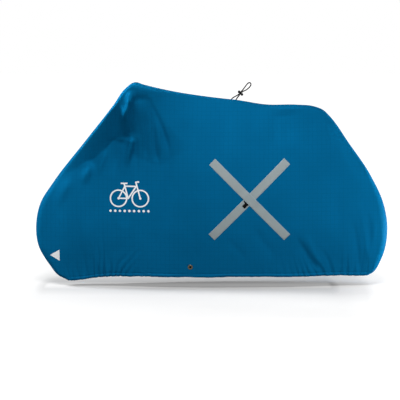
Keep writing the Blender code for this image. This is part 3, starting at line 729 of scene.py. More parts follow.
def hollows(points):
    """Depth of the broad hollows at side-view points."""
    x = points[..., 0]
    z = points[..., 1]
    depth = np.zeros(x.shape)
    for _, start, power, rows in HOLLOWS:
        table = np.array(rows)
        floor, rise, top, deepest = np.moveaxis(smooth_read(table[:, 0], table[:, 1:], x), -1, 0)
        down = np.clip((top - z) / np.maximum(top - floor, SMALL), 0.0, 1.0)
        falling = (np.hypot(down, start) - start) / (math.hypot(1.0, start) - start)
        falling = (1.0 + OVERHANG) * (1.0 - (1.0 - falling) ** power) - OVERHANG
        rising = np.clip(1.0 - (floor - z) / np.maximum(rise, SMALL), 0.0, 1.0)
        rising = 0.5 * (rising + ease(rising))
        depth = depth + np.maximum(deepest, 0.0) * np.where(z > floor, falling, rising)
    return depth


def folds(points, away):
    """All the listed folds, which fade out towards the seam."""
    height = np.zeros(points.shape[:-1])
    for row in FOLDS:
        height += one_fold(points, *row[1:])
    return height * ease(away / FOLD_EDGE)


def gathers(points, seed):
    """Pleats that run up from the hem, and the finer ones in its casing."""
    x = points[..., 0]
    above = np.maximum(points[..., 1] - hem_height(x), 0.0)
    lean = np.interp(x, GATHER_TABLE[:, 0], GATHER_TABLE[:, 4])
    foot = x - lean * above
    foot = foot + SWAY * soft_noise(points, 0.060, seed + 5, 1.6)
    fine = np.linspace(GATHER_TABLE[0, 0] - 0.2, GATHER_TABLE[-1, 0] + 0.2, 2400)
    pitch = np.interp(fine, GATHER_TABLE[:, 0], GATHER_TABLE[:, 3])
    flat = np.stack((fine, np.zeros(len(fine))), axis=-1)
    pitch = pitch * (1.0 + PITCH_SPREAD * soft_noise(flat, 0.075, seed))
    turns = np.concatenate(([0.0], np.cumsum(np.diff(fine) / pitch[1:])))
    phase = 2.0 * math.pi * np.interp(foot, fine, turns)
    depth = np.interp(foot, GATHER_TABLE[:, 0], GATHER_TABLE[:, 1])
    height = np.interp(foot, GATHER_TABLE[:, 0], GATHER_TABLE[:, 2])
    spot = np.stack((foot, np.zeros(foot.shape)), axis=-1)
    height = height * (1.0 + HEIGHT_SPREAD * soft_noise(spot, 0.028, seed + 1))
    depth = depth * (DEPTH_MEAN + DEPTH_SPREAD * soft_noise(spot, 0.040, seed + 2))
    wave = np.sin(phase) + SECOND_WAVE[0] * np.sin(2.0 * phase + SECOND_WAVE[1])
    long_pleats = depth * wave * np.exp(-(above / height) ** PLEAT_FALL)
    ruffles = RUFFLE[0] * np.sin(RUFFLE[1] * phase + 2.0 * soft_noise(spot, 0.02, seed + 3))
    return long_pleats + ruffles * np.exp(-(above / RUFFLE[2]) ** 2)


def casing(above):
    """Section of the hem casing: full round the elastic, drawn in at the stitch line."""
    share = np.clip(above / STITCH_ROW, 0.0, 1.0)
    full = CASING_FULL * np.sin(math.pi * share)
    return full - CASING_DRAWN * np.exp(-((above - STITCH_ROW) / CASING_LINE) ** 2)


def eyelet_plane(points):
    """The flat of cloth round an eyelet: its half-width there, and its two slopes."""
    step = PLANE_STEP
    middle = np.array([EYELET_X, EYELET_Z])
    spots = middle + np.array([(0.0, 0.0), (step, 0.0), (-step, 0.0), (0.0, step), (0.0, -step)])
    at = body_width(spots, seam_distance(spots))
    slope_x = (at[1] - at[2]) / (2 * step)
    slope_z = (at[3] - at[4]) / (2 * step)
    plane = at[0] + slope_x * (points[..., 0] - EYELET_X) + slope_z * (points[..., 1] - EYELET_Z)
    return plane, slope_x, slope_z


def cloth_width(points, seed=LEFT_SEED):
    """Half-width of the cover at side-view points, with all its folds."""
    away = seam_distance(points)
    above = points[..., 1] - hem_height(points[..., 0])
    width = body_width(points, away) - hollows(points) * ease(away / HOLLOW_EDGE) + folds(points, away)
    inside = ease(away / FOLD_EDGE)
    width = width + inside * (gathers(points, seed) + casing(above))
    for depth, size, more, drawn_out in UNEVENNESS:
        width = width + inside * depth * soft_noise(points, size, seed + more, drawn_out)
    puckers = PUCKERS[0] * soft_noise(points, PUCKERS[1], seed + PUCKERS[2])
    width = width + puckers * ease(away / 0.004) * (1.0 - ease((away - 0.010) / 0.015))
    far = np.hypot(points[..., 0] - EYELET_X, points[..., 1] - EYELET_Z)
    flat = 1.0 - ease((far - FLAT_INNER) / (FLAT_OUTER - FLAT_INNER))
    return width + flat * (eyelet_plane(points)[0] - width)


def sheet_grid():
    """Side-view points of a panel: columns from the front corner to the tail, rows downwards."""
    hem_x = np.linspace(TIE_HEM[0], TIE_HEM[-1], 1600)
    seam_at = smooth_read(TIE_HEM, TIE_SEAM, hem_x)
    run = hem_x - hem_x[0] + 0.8 * (seam_at - seam_at[0])
    hem_x = np.interp(np.linspace(0.0, run[-1], SHEET_COLUMNS), run, hem_x)
    foot = np.stack((hem_x, hem_height(hem_x)), axis=-1)
    head = smooth_read(SEAM_CHORDS, SEAM_POINTS, smooth_read(TIE_HEM, TIE_SEAM, hem_x))
    length = np.linalg.norm(foot - head, axis=1)
    scale = np.minimum(1.0, length / FULL_LINE)[:, None]
    length = length[:, None]
    top = scale * np.array(SEAM_ROWS)
    bottom = length - scale * np.array(HEM_ROWS)
    share = np.linspace(0.0, 1.0, MIDDLE_ROWS + 2)[1:-1]
    middle = top[:, -1:] + share * (bottom[:, :1] - top[:, -1:])
    down = np.concatenate((top, middle, bottom), axis=1) / np.maximum(length, 1e-6)
    return head[:, None] + down[..., None] * (foot - head)[:, None]


def hem_wave(x, seed):
    """Small rise and fall of the hem's lower edge."""
    spot = np.stack((x, np.zeros(x.shape)), axis=-1)
    return sum(rise * soft_noise(spot, size, seed + more) for rise, size, more in HEM_WAVES)


def grid_normals(points, side):
    """Outward normals of a grid of points."""
    across = np.gradient(points, axis=0)
    down = np.gradient(points, axis=1)
    normal = np.cross(across, down) * side
    normal /= np.maximum(np.linalg.norm(normal, axis=-1, keepdims=True), 1e-12)
    flip = np.where(normal[..., 1:2] * side < -0.2, -1.0, 1.0)
    return normal * flip


# ---------------------------------------------------------------- mesh helpers
def sizes():
    return bpy.context.scene.cover_sizes


def colours():
    return bpy.context.scene.cover_colours


def stage_settings():
    return bpy.context.scene.cover_stage


def link(name, data):
    """Put new data in the scene as an object of the same name."""
    item = bpy.data.objects.new(name, data)
    bpy.context.scene.collection.objects.link(item)
    return item


def mesh_from(name, points, faces):
    """Mesh of points in any grid, and faces that number them in order."""
    mesh = bpy.data.meshes.new(name)
    mesh.from_pydata(np.asarray(points, float).reshape(-1, 3).tolist(), [], faces)
    mesh.update()
    return mesh


def grid_faces(columns, rows, flip, skip=()):
    """Faces of a grid, without those that are skipped."""
    faces = []
    for column in range(columns - 1):
        for row in range(rows - 1):
            if (column, row) in skip:
                continue
            corner = column * rows + row
            face = (corner, corner + 1, corner + rows + 1, corner + rows)
            faces.append(face[::-1] if flip else face)
    return faces


def applied(item):
    """Replace an object's mesh by what its modifiers make of it."""
    bpy.context.view_layer.update()
    ready = item.evaluated_get(bpy.context.evaluated_depsgraph_get())
    mesh = bpy.data.meshes.new_from_object(ready)
    old = item.data
    item.modifiers.clear()
    item.data = mesh
    bpy.data.meshes.remove(old)
    mesh.name = item.name
    return item


def thicken(item, thickness, offset):
    """Give a sheet its thickness: outwards at offset 1, and inwards at -1."""
    solidify = item.modifiers.new("thickness", "SOLIDIFY")
    solidify.thickness = thickness
    solidify.offset = offset
    return applied(item)


def clean(item):
    """Merge points that lie on each other and turn the faces outwards."""
    bm = bmesh.new()
    bm.from_mesh(item.data)
    bmesh.ops.remove_doubles(bm, verts=bm.verts, dist=1e-6)
    bmesh.ops.recalc_face_normals(bm, faces=bm.faces)
    bm.to_mesh(item.data)
    bm.free()
    item.data.shade_smooth()
    return item


def finish_piece(item, material, nodes=()):
    """Give a piece its material and body, and hide the nodes that it replaces."""
    item.data.materials.clear()
    item.data.materials.append(material)
    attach(item, BODY)
    if nodes:
        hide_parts(*nodes)
    return item


def paint(item, name, values):
    """Store a vector for each point of a mesh, which its material reads."""
    attribute = item.data.attributes.new(name, "FLOAT_VECTOR", "POINT")
    attribute.data.foreach_set("vector", np.asarray(values, np.float32).ravel())


def cloth_places(points, grid):
    """Where each point lies on the cloth laid flat, in metres, for its weave."""
    flat = np.zeros(grid.shape[:2] + (3,))
    step = np.linalg.norm(np.diff(points, axis=1), axis=-1)
    shadow = np.linalg.norm(np.diff(grid, axis=1), axis=-1)
    extra = np.concatenate((np.zeros((len(grid), 1)), np.cumsum(step - shadow, axis=1)), axis=1)
    middle = grid.shape[1] * 2 // 3
    extra = extra - extra[:, middle:middle + 1]
    way = np.diff(grid, axis=1)
    way = np.concatenate((way, way[:, -1:]), axis=1)
    way /= np.maximum(np.linalg.norm(way, axis=-1, keepdims=True), 1e-9)
    flat[..., :2] = grid + extra[..., None] * way
    return flat


# ---------------------------------------------------------------- materials
class Nodes:
    """Short hand for building a material's nodes."""

    def __init__(self, name):
        self.material = bpy.data.materials.new(name)
        self.material.use_nodes = True
        self.tree = self.material.node_tree
        self.shader = self.tree.nodes["Principled BSDF"]

    def add(self, kind, **settings):
        node = self.tree.nodes.new(kind)
        for key, value in settings.items():
            if hasattr(node, key):
                setattr(node, key, value)
            else:
                node.inputs[key.replace("_", " ")].default_value = value
        return node

    def join(self, source, target):
        self.tree.links.new(source, target)

    def math(self, operation, first, second=None, clamp=False):
        node = self.add("ShaderNodeMath", operation=operation, use_clamp=clamp)
        for socket, value in zip(node.inputs, (first, second)):
            if value is None:
                continue
            if isinstance(value, (int, float)):
                socket.default_value = value
            else:
                self.join(value, socket)
        return node.outputs[0]

    def mix(self, share, first, second):
        node = self.add("ShaderNodeMix", data_type="RGBA", blend_type="MIX")
        for socket, value in ((node.inputs[0], share), (node.inputs[6], first), (node.inputs[7], second)):
            if isinstance(value, (int, float)):
                socket.default_value = value
            elif isinstance(value, (tuple, list)):
                socket.default_value = (*value[:3], 1.0)
            else:
                self.join(value, socket)
        return node.outputs[2]

    def bump(self, height, distance, strength, under=None):
        node = self.add("ShaderNodeBump", Distance=distance, Strength=strength)
        self.join(height, node.inputs["Height"])
        if under is not None:
            self.join(under, node.inputs["Normal"])
        return node.outputs["Normal"]

    def noise(self, vector, scale, detail=2.0, roughness=0.5):
        node = self.add("ShaderNodeTexNoise", Scale=scale, Detail=detail, Roughness=roughness)
        self.join(vector, node.inputs["Vector"])
        return node.outputs["Fac"]

    def place(self, attribute=None):
        """Where a point lies: on the object, or as painted on its mesh."""
        if attribute is None:
            return self.add("ShaderNodeTexCoord").outputs["Object"]
        return self.add("ShaderNodeAttribute", attribute_name=attribute).outputs["Vector"]

    def axes(self, vector):
        """The parts of a vector."""
        split = self.add("ShaderNodeSeparateXYZ")
        self.join(vector, split.inputs[0])
        return split.outputs

    def ripple(self, axis, pitch):
        """Waves along an axis, a pitch from crest to crest."""
        return self.math("SINE", self.math("MULTIPLY", axis, 2 * math.pi / pitch))

    def finish(self, colour, relief, **even):
        """Join the colour and the relief, and set what is the same all over."""
        self.join(colour, self.shader.inputs["Base Color"])
        if relief is not None:
            self.join(relief, self.shader.inputs["Normal"])
        for name, value in even.items():
            self.shader.inputs[name.replace("_", " ")].default_value = value
        return self.material


def scaled(colour, factor):
    """A colour made darker or lighter."""
    return tuple(min(channel * factor, 1.0) for channel in colour)


def ruled_lines(nodes, axis, pitch, width):
    """1 on lines across an axis, which stand a pitch apart, and 0 between them."""
    share = nodes.math("FRACT", nodes.math("MULTIPLY", axis, 1.0 / pitch))
    away = nodes.math("ABSOLUTE", nodes.math("SUBTRACT", share, 0.5))
    edge = nodes.math("SUBTRACT", 0.5 * width / pitch, away)
    return nodes.math("MULTIPLY", edge, 2.2 * pitch / width, clamp=True)


RIPSTOP_WIDTH = 0.0007       # of the fine and of the strong threads, and pitch of the weave
STRONG_WIDTH = 0.0024
WEAVE_PITCH = 0.0009
BEAD_PITCH = 0.0011         # of the tape's rows of beads
TAPE_SELVEDGE = 0.0022      # width of the tape's bound edge
SELVEDGE_SHARPNESS = 900.0
SELVEDGE_COLOUR = (0.36, 0.50, 0.58)
RIB_PITCH = 0.0011          # of the webbing, and how wide each of its slanted rows is
RIB_ROW = 0.0044
BRAID_PITCH = 0.0034        # of the cord's strands, and how many go round it
BRAID_STRANDS = 4.0


def cloth_material(name, colour, roughness=0.42):
    """Coated ripstop cloth: a fine grid of thicker threads over a plain weave."""
    nodes = Nodes(name)
    place = nodes.place("cloth_place")
    across, up = nodes.axes(place)[:2]
    fine = nodes.math("MAXIMUM", ruled_lines(nodes, across, sizes().ripstop, RIPSTOP_WIDTH),
                      ruled_lines(nodes, up, sizes().ripstop, RIPSTOP_WIDTH))
    strong = nodes.math("MAXIMUM", ruled_lines(nodes, across, sizes().grid, STRONG_WIDTH),
                        ruled_lines(nodes, up, sizes().grid, STRONG_WIDTH))
    weave = nodes.math("MULTIPLY", nodes.ripple(across, WEAVE_PITCH), nodes.ripple(up, WEAVE_PITCH))
    broad = nodes.noise(place, 4.0, 3.0)
    cloudy = nodes.noise(place, 26.0, 3.0, 0.6)
    crinkle = nodes.noise(place, 120.0, 4.0, 0.6)
    tone = nodes.mix(broad, scaled(colour, 0.86), scaled(colour, 1.14))
    tone = nodes.mix(nodes.math("MULTIPLY", cloudy, 0.16), tone, scaled(colour, 1.25))
    tone = nodes.mix(nodes.math("MULTIPLY", fine, 0.16), tone, scaled(colour, 1.4))
    shown = nodes.math("ADD", nodes.math("MULTIPLY", broad, 0.60), 0.08)
    tone = nodes.mix(nodes.math("MULTIPLY", strong, shown), tone, scaled(colour, 0.62))
    shine = nodes.math("ADD", nodes.math("MULTIPLY", cloudy, 0.14), roughness - 0.07)
    nodes.join(shine, nodes.shader.inputs["Roughness"])
    soft = nodes.bump(crinkle, 0.0012, 0.30)
    threads = nodes.math("ADD", nodes.math("MULTIPLY", fine, 0.7), nodes.math("MULTIPLY", strong, 1.0))
    threads = nodes.math("ADD", threads, nodes.math("MULTIPLY", weave, 0.16))
    return nodes.finish(tone, nodes.bump(threads, 0.00022, 0.8, soft), Specular_IOR_Level=0.0, Metallic=0.03,
                        Sheen_Weight=0.15, Sheen_Roughness=0.30, Sheen_Tint=(0.0, 0.42, 0.85, 1.0))


def thread_material(name, colour):
    """Twisted sewing thread with a little fuzz."""
    nodes = Nodes(name)
    fuzz = nodes.noise(nodes.place(), 1800.0, 3.0)
    tone = nodes.mix(fuzz, scaled(colour, 0.7), scaled(colour, 1.4))
    return nodes.finish(tone, nodes.bump(fuzz, 0.0002, 0.6), Roughness=0.55, Specular_IOR_Level=0.10)


def tape_material(name, colour):
    """Grey reflective tape: close rows of fine beads on a woven backing."""
    nodes = Nodes(name)
    place = nodes.place("tape_place")
    along, across = nodes.axes(place)[:2]
    beads = nodes.math("MULTIPLY", nodes.ripple(along, BEAD_PITCH), nodes.ripple(across, BEAD_PITCH))
    grain = nodes.noise(place, 900.0, 3.0)
    worn = nodes.noise(place, 22.0, 4.0, 0.65)
    edge = nodes.math("SUBTRACT", nodes.math("ABSOLUTE", across), 0.5 * TAPE_WIDTH - TAPE_SELVEDGE)
    edge = nodes.math("MULTIPLY", edge, SELVEDGE_SHARPNESS, clamp=True)
    tone = nodes.mix(worn, scaled(colour, 0.90), scaled(colour, 1.10))
    tone = nodes.mix(nodes.math("MULTIPLY", grain, 0.22), tone, scaled(colour, 0.72))
    tone = nodes.mix(nodes.math("MULTIPLY", edge, 0.5), tone, SELVEDGE_COLOUR)
    height = nodes.math("ADD", nodes.math("MULTIPLY", beads, 0.4), grain)
    soft = nodes.bump(worn, 0.0008, 0.25)
    return nodes.finish(tone, nodes.bump(height, 0.00012, 0.6, soft), Roughness=0.52, Specular_IOR_Level=0.5)


def print_material(name, colour):
    """Printed ink, a little patchy on the weave."""
    nodes = Nodes(name)
    place = nodes.place()
    patchy = nodes.noise(place, 60.0, 4.0, 0.6)
    grain = nodes.noise(place, 700.0, 2.0)
    tone = nodes.mix(patchy, scaled(colour, 0.95), scaled(colour, 1.03))
    return nodes.finish(tone, nodes.bump(grain, 0.0001, 0.5), Roughness=0.5)


def webbing_material(name, colour):
    """Black webbing, woven in slanted ribs."""
    nodes = Nodes(name)
    place = nodes.place("tape_place")
    along, across = nodes.axes(place)[:2]
    row = nodes.math("FRACT", nodes.math("MULTIPLY", across, 1 / RIB_ROW))
    slant = nodes.math("ADD", along, nodes.math("ABSOLUTE", nodes.math("SUBTRACT", row, 0.5)))
    ribs = nodes.ripple(slant, RIB_PITCH)
    fuzz = nodes.noise(place, 1500.0, 3.0)
    tone = nodes.mix(fuzz, scaled(colour, 0.6), scaled(colour, 2.6))
    height = nodes.math("ADD", nodes.math("MULTIPLY", ribs, 0.6), fuzz)
    return nodes.finish(tone, nodes.bump(height, 0.0003, 0.8), Roughness=0.8, Specular_IOR_Level=0.10)


def metal_material(name, colour):
    """Antiqued brass: stained, and rubbed bright in places."""
    nodes = Nodes(name)
    place = nodes.place()
    stain = nodes.noise(place, 260.0, 4.0, 0.6)
    scratch = nodes.noise(place, 1400.0, 3.0)
    tone = nodes.mix(stain, scaled(colour, 0.65), scaled(colour, 1.8))
    nodes.join(nodes.math("ADD", nodes.math("MULTIPLY", stain, 0.3), 0.22), nodes.shader.inputs["Roughness"])
    return nodes.finish(tone, nodes.bump(scratch, 0.0001, 0.35), Metallic=1.0)


def cord_material(name, colour):
    """Braided cord: two sets of strands that cross on a slant, with a painted highlight on their crests."""
    nodes = Nodes(name)
    place = nodes.place("cord_place")
    along, turn = nodes.axes(place)[:2]
    spin = nodes.math("MULTIPLY", turn, BRAID_STRANDS)
    run = nodes.math("MULTIPLY", along, 2 * math.pi / BRAID_PITCH)
    left = nodes.math("SINE", nodes.math("ADD", spin, run))
    right = nodes.math("SINE", nodes.math("SUBTRACT", spin, run))
    braid = nodes.math("MULTIPLY", left, right)
    fuzz = nodes.noise(place, 2200.0, 3.0)
    # Painted highlight: the tone is lighter where the strands stand highest.
    tone = nodes.mix(nodes.math("MULTIPLY", braid, 0.5, clamp=True), scaled(colour, 0.6), scaled(colour, 2.8))
    height = nodes.math("ADD", braid, nodes.math("MULTIPLY", fuzz, 0.4))
    return nodes.finish(tone, nodes.bump(height, 0.0004, 0.8), Roughness=0.7, Specular_IOR_Level=0.20,
                        Sheen_Weight=0.03)


def plastic_material(name, colour):
    """Moulded plastic with a fine grain, worn a little smoother in places."""
    nodes = Nodes(name)
    place = nodes.place()
    grain = nodes.noise(place, 1600.0, 3.0)
    wear = nodes.noise(place, 120.0, 4.0)
    tone = nodes.mix(wear, scaled(colour, 0.8), scaled(colour, 1.9))
    nodes.join(nodes.math("ADD", nodes.math("MULTIPLY", wear, 0.2), 0.34), nodes.shader.inputs["Roughness"])
    return nodes.finish(tone, nodes.bump(grain, 0.0001, 0.4), Specular_IOR_Level=0.25)


# ---------------------------------------------------------------- stitches
def stitch_tree():
    """Geometry Nodes that lay stitches along the lines of a mesh."""
    tree = bpy.data.node_groups.new("stitches", "GeometryNodeTree")
    face = tree.interface
    face.new_socket(name="Lines", in_out="INPUT", socket_type="NodeSocketGeometry")
    for name, value in (("Pitch", 0.004), ("Length", 0.003), ("Thread", 0.0007)):
        socket = face.new_socket(name=name, in_out="INPUT", socket_type="NodeSocketFloat")
        socket.default_value = value
    face.new_socket(name="Material", in_out="INPUT", socket_type="NodeSocketMaterial")
    face.new_socket(name="Stitches", in_out="OUTPUT", socket_type="NodeSocketGeometry")
    add = tree.nodes.new
    join = tree.links.new
    start = add("NodeGroupInput")
    curve = add("GeometryNodeMeshToCurve")
    join(start.outputs["Lines"], curve.inputs[0])
    even = add("GeometryNodeResampleCurve")
    even.mode = "LENGTH"
    join(curve.outputs[0], even.inputs["Curve"])
    join(start.outputs["Pitch"], even.inputs["Length"])
    ball = add("GeometryNodeMeshUVSphere")
    ball.inputs["Segments"].default_value = 6
    ball.inputs["Rings"].default_value = 4
    ball.inputs["Radius"].default_value = 0.5
    shape = add("ShaderNodeCombineXYZ")
    join(start.outputs["Thread"], shape.inputs[0])
    join(start.outputs["Thread"], shape.inputs[1])
    join(start.outputs["Length"], shape.inputs[2])
    stitch = add("GeometryNodeTransform")
    join(ball.outputs["Mesh"], stitch.inputs["Geometry"])
    join(shape.outputs[0], stitch.inputs["Scale"])
    tangent = add("GeometryNodeInputTangent")
    turn = add("FunctionNodeAlignRotationToVector")
    turn.axis = "Z"
    join(tangent.outputs[0], turn.inputs["Vector"])
    uneven = add("FunctionNodeRandomValue")
    uneven.data_type = "FLOAT"
    floats = [socket for socket in uneven.inputs if socket.type == "VALUE"]
    floats[0].default_value = 0.86
    floats[1].default_value = 1.08
    uneven.inputs["Seed"].default_value = 4
    value = [socket for socket in uneven.outputs if socket.type == "VALUE"][0]
    place = add("GeometryNodeInstanceOnPoints")
    join(even.outputs[0], place.inputs["Points"])
    join(stitch.outputs[0], place.inputs["Instance"])
    join(turn.outputs[0], place.inputs["Rotation"])
    join(value, place.inputs["Scale"])
    real = add("GeometryNodeRealizeInstances")
    join(place.outputs[0], real.inputs[0])
    colour = add("GeometryNodeSetMaterial")
    join(real.outputs[0], colour.inputs["Geometry"])
    join(start.outputs["Material"], colour.inputs["Material"])
    end = add("NodeGroupOutput")
    join(colour.outputs[0], end.inputs[0])
    return tree


def stitches(name, lines, material):
    """One piece of stitches along several lines of points, in side-view coordinates."""
    points = []
    edges = []
    for line in lines:
        first = len(points)
        points.extend(to_row(line).tolist())
        edges.extend((first + step, first + step + 1) for step in range(len(line) - 1))
    mesh = bpy.data.meshes.new(name)
    mesh.from_pydata(points, edges, [])
    item = link(name, mesh)
    modifier = item.modifiers.new("stitches", "NODES")
    tree = bpy.data.node_groups.get("stitches") or stitch_tree()
    modifier.node_group = tree
    values = {"Pitch": sizes().stitch_pitch, "Length": sizes().stitch_length, "Thread": sizes().thread,
              "Material": material}
    for socket in tree.interface.items_tree:
        if socket.item_type == "SOCKET" and socket.in_out == "INPUT" and socket.name in values:
            modifier[socket.identifier] = values[socket.name]
    item = applied(item)
    if len(item.data.polygons) == 0:
        raise RuntimeError("no stitches were made for " + name)
    item.data.shade_smooth()
    return finish_piece(item, material)


# ---------------------------------------------------------------- panels
SHEETS = {}


def make_panel(side):
    """One side panel as a thin sheet with its hem casing; side is -1 on the left."""
    label = "left" if side < 0 else "right"
    seed = LEFT_SEED if side < 0 else RIGHT_SEED
    grid = sheet_grid()
    middle = np.array([EYELET_X, EYELET_Z])
    spot = np.unravel_index(int(np.argmin(np.linalg.norm(grid - middle, axis=-1))), grid.shape[:2])
    shift = middle - grid[spot]
    far = np.linalg.norm(grid - middle, axis=-1)
    grid = grid + (1.0 - ease(far / EYELET_PULL))[..., None] * shift
    for i in (-1, 0, 1):
        for j in (-1, 0, 1):
            if i or j:
                way = grid[spot[0] + i, spot[1] + j] - middle
                grid[spot[0] + i, spot[1] + j] = middle + EYELET_CUT * way / np.linalg.norm(way)
    edge = grid.copy()
    above = grid[..., 1] - hem_height(grid[..., 0])
    edge[..., 1] += hem_wave(grid[..., 0], seed) * (1.0 - ease(above / HEM_WAVE_HEIGHT))
    width = cloth_width(grid, seed)
    width[:, 0] = 0.0
    points = np.stack((edge[..., 0], side * (width + 0.5 * GAP), edge[..., 1]), axis=-1)
    normal = grid_normals(points, side)
    outer = points + CLOTH * normal
    scale = np.minimum(1.0, np.linalg.norm(grid[:, 0] - grid[:, -1], axis=1) / FULL_LINE)[:, None]
    inner = []
    for rise in INSIDE_ROWS:
        share = rise / STITCH_ROW
        row = outer[:, -1].copy()
        row[:, 2] += scale[:, 0] * rise
        row[:, 1] -= side * scale[:, 0] * (CASING_INSIDE + CASING_DEEP * math.sin(math.pi * share))
        inner.append(row)
    sheet = np.concatenate((outer, np.stack(inner, axis=1)), axis=1)
    sheet[..., 1] = side * np.maximum(side * sheet[..., 1], 0.5 * GAP)
    flat = cloth_places(outer, grid)
    folded = np.repeat(flat[:, -1:], len(INSIDE_ROWS), axis=1)
    folded[..., 1] -= np.array(INSIDE_ROWS)
    flat = np.concatenate((flat, folded), axis=1)
    hole = {(spot[0] + i, spot[1] + j) for i in (-1, 0) for j in (-1, 0)}
    faces = grid_faces(grid.shape[0], sheet.shape[1], side > 0, hole)
    item = link("cover_panel_" + label, mesh_from("cover_panel_" + label, to_row(sheet), faces))
    paint(item, "cloth_place", flat)
    bm = bmesh.new()
    bm.from_mesh(item.data)
    bmesh.ops.delete(bm, geom=[v for v in bm.verts if not v.link_faces], context="VERTS")
    bmesh.ops.remove_doubles(bm, verts=bm.verts, dist=2e-5)
    bm.to_mesh(item.data)
    bm.free()
    item = thicken(item, sizes().cloth, -1.0)
    item.data.shade_smooth()
    SHEETS[side] = {"outer": outer, "normal": normal}
    return item


def surface_line(side, row):
    """Line of stitches along one row of a panel's outer side, short of its two corners."""
    sheet = SHEETS[side]
    return (sheet["outer"][:, row] + STITCH_LIFT * sheet["normal"][:, row])[3:-3]


class COVER_OT_panels(bpy.types.Operator):
    """Make the two side panels, hanging in their folds"""

    bl_idname = "cover.panels"
    bl_label = "Side panels"

    def execute(self, context):
        material = cloth_material("coated ripstop", tuple(colours().cloth))
        for side, label in SIDES:
            item = make_panel(side)
            finish_piece(item, material, ("side_panel_" + label, "eyelet_patch_" + label))
        return {"FINISHED"}


# ---------------------------------------------------------------- tape and tab
def strip_points(centre, angle, run, off, lift):
    """Points of a strip on the left panel, at distances along and across it."""
    x = centre[0] + run * math.cos(angle) - off * math.sin(angle)
    z = centre[1] + run * math.sin(angle) + off * math.cos(angle)
    spots = np.stack((x, z), axis=-1)
    return np.stack((x, -(cloth_width(spots) + 0.5 * GAP + CLOTH + lift), z), axis=-1)


def lower_lift(run):
    """Lift of the lower strip, the same all along."""
    return TAPE_LIFT + 0.0 * run


def tab_lift(run):
    """Lift of the tab, which lies on the lower strip."""
    return TAPE_LIFT + TAPE_THICKNESS + GAP + 0.0 * run


def tab_spread(run, off):
    """The tab's points across it, which move out to the width of its foot."""
    foot = 0.5 * (TAB_OUT + TAB_UNDER) - TAB_UNDER
    based = ease((run - foot + TAB_BASE_OUT) / TAB_NECK)
    return off * (1.0 + (TAB_BASE / TAB_WIDTH - 1.0) * based) + TAB_BASE_SHIFT * based


def upper_lift(run):
    """Lift of the upper strip: over the lower strip and the tab in the middle."""
    stack = TAPE_THICKNESS + TAB_THICKNESS + 2 * GAP + HUMP_SPARE
    return TAPE_LIFT + stack * (1.0 - ease((abs(run) - 0.5 * TAPE_WIDTH - HUMP_FLAT) / HUMP_REACH))


def make_strip(name, centre, angle, length, width, steps, lift_at, thickness, spread=None):
    """A strip on the left panel; spread moves its points across it."""
    run, off = np.meshgrid(np.linspace(-0.5, 0.5, steps[0] + 1) * length,
                           np.linspace(-0.5, 0.5, steps[1] + 1) * width, indexing="ij")
    rounding = TAPE_EDGE * (np.abs(off) / (0.5 * width)) ** TAPE_EDGE_POWER
    if spread is not None:
        off = spread(run, off)
    points = strip_points(centre, angle, run, off, lift_at(run) - rounding)
    item = link(name, mesh_from(name, to_row(points), grid_faces(steps[0] + 1, steps[1] + 1, True)))
    paint(item, "tape_place", np.stack((run, off, np.zeros(run.shape)), axis=-1))
    item = thicken(item, thickness, 1.0)
    bevel = item.modifiers.new("soft edges", "BEVEL")
    bevel.width = TAPE_BEVEL * thickness
    bevel.segments = 2
    bevel.limit_method = "ANGLE"
    bevel.angle_limit = math.radians(50)
    item = applied(item)
    item.data.shade_smooth()
    return item


def strip_edge(centre, angle, length, width, inset, lift_at):
    """Lines on top of a strip, a little in from its four edges."""
    lines = []
    run = np.linspace(-0.5, 0.5, 90) * (length - 2 * inset)
    off = 0.5 * width - inset
    for side in (-1.0, 1.0):
        lift = lift_at(run) + TAPE_THICKNESS + THREAD_LIFT
        lines.append(strip_points(centre, angle, run, np.full(run.shape, side * off), lift))
    across = np.linspace(-1.0, 1.0, 10) * off
    for side in (-1.0, 1.0):
        end = np.full(across.shape, side * (0.5 * length - inset))
        lift = lift_at(end) + TAPE_THICKNESS + THREAD_LIFT
        lines.append(strip_points(centre, angle, end, across, lift))
    return lines


class COVER_OT_tape(bpy.types.Operator):
    """Make the cross of reflective tape and the tab that it holds"""

    bl_idname = "cover.tape"
    bl_label = "Reflective tape"

    def execute(self, context):
        tape = tape_material("reflective tape", tuple(colours().tape))
        thread = thread_material("grey thread", scaled(tuple(colours().tape), 0.8))
        strips = (("tape_rising", "reflective_tape_lower", RISING_CENTRE, RISING_ANGLE, lower_lift),
                  ("tape_falling", "reflective_tape_upper", TAPE_CENTRE, -TAPE_ANGLE, upper_lift))
        lines = []
        for name, node, centre, angle, lift in strips:
            item = make_strip(name, centre, angle, TAPE_LENGTH, TAPE_WIDTH, TAPE_STEPS, lift, TAPE_THICKNESS)
            finish_piece(item, tape, (node,))
            edge = strip_edge(centre, angle, TAPE_LENGTH, TAPE_WIDTH, STITCH_INSET, lift)
            if lift is lower_lift:
                edge = [part for line in edge for part in split_line(line, 0.5 * TAPE_WIDTH)]
            lines += edge
        stitches("tape_stitching", lines, thread)
        length = TAB_OUT + TAB_UNDER
        out = -(0.5 * TAPE_WIDTH + TAB_OUT - 0.5 * length)
        centre = (TAPE_CENTRE[0] + out * math.cos(TAPE_ANGLE) - TAB_SHIFT * math.sin(TAPE_ANGLE),
                  TAPE_CENTRE[1] + out * math.sin(TAPE_ANGLE) + TAB_SHIFT * math.cos(TAPE_ANGLE))
        tab = make_strip("tab", centre, TAPE_ANGLE, length, TAB_WIDTH, TAB_STEPS, tab_lift, TAB_THICKNESS,
                         tab_spread)
        finish_piece(tab, webbing_material("black webbing", tuple(colours().webbing)),
                     ("webbing_tab",))
        return {"FINISHED"}


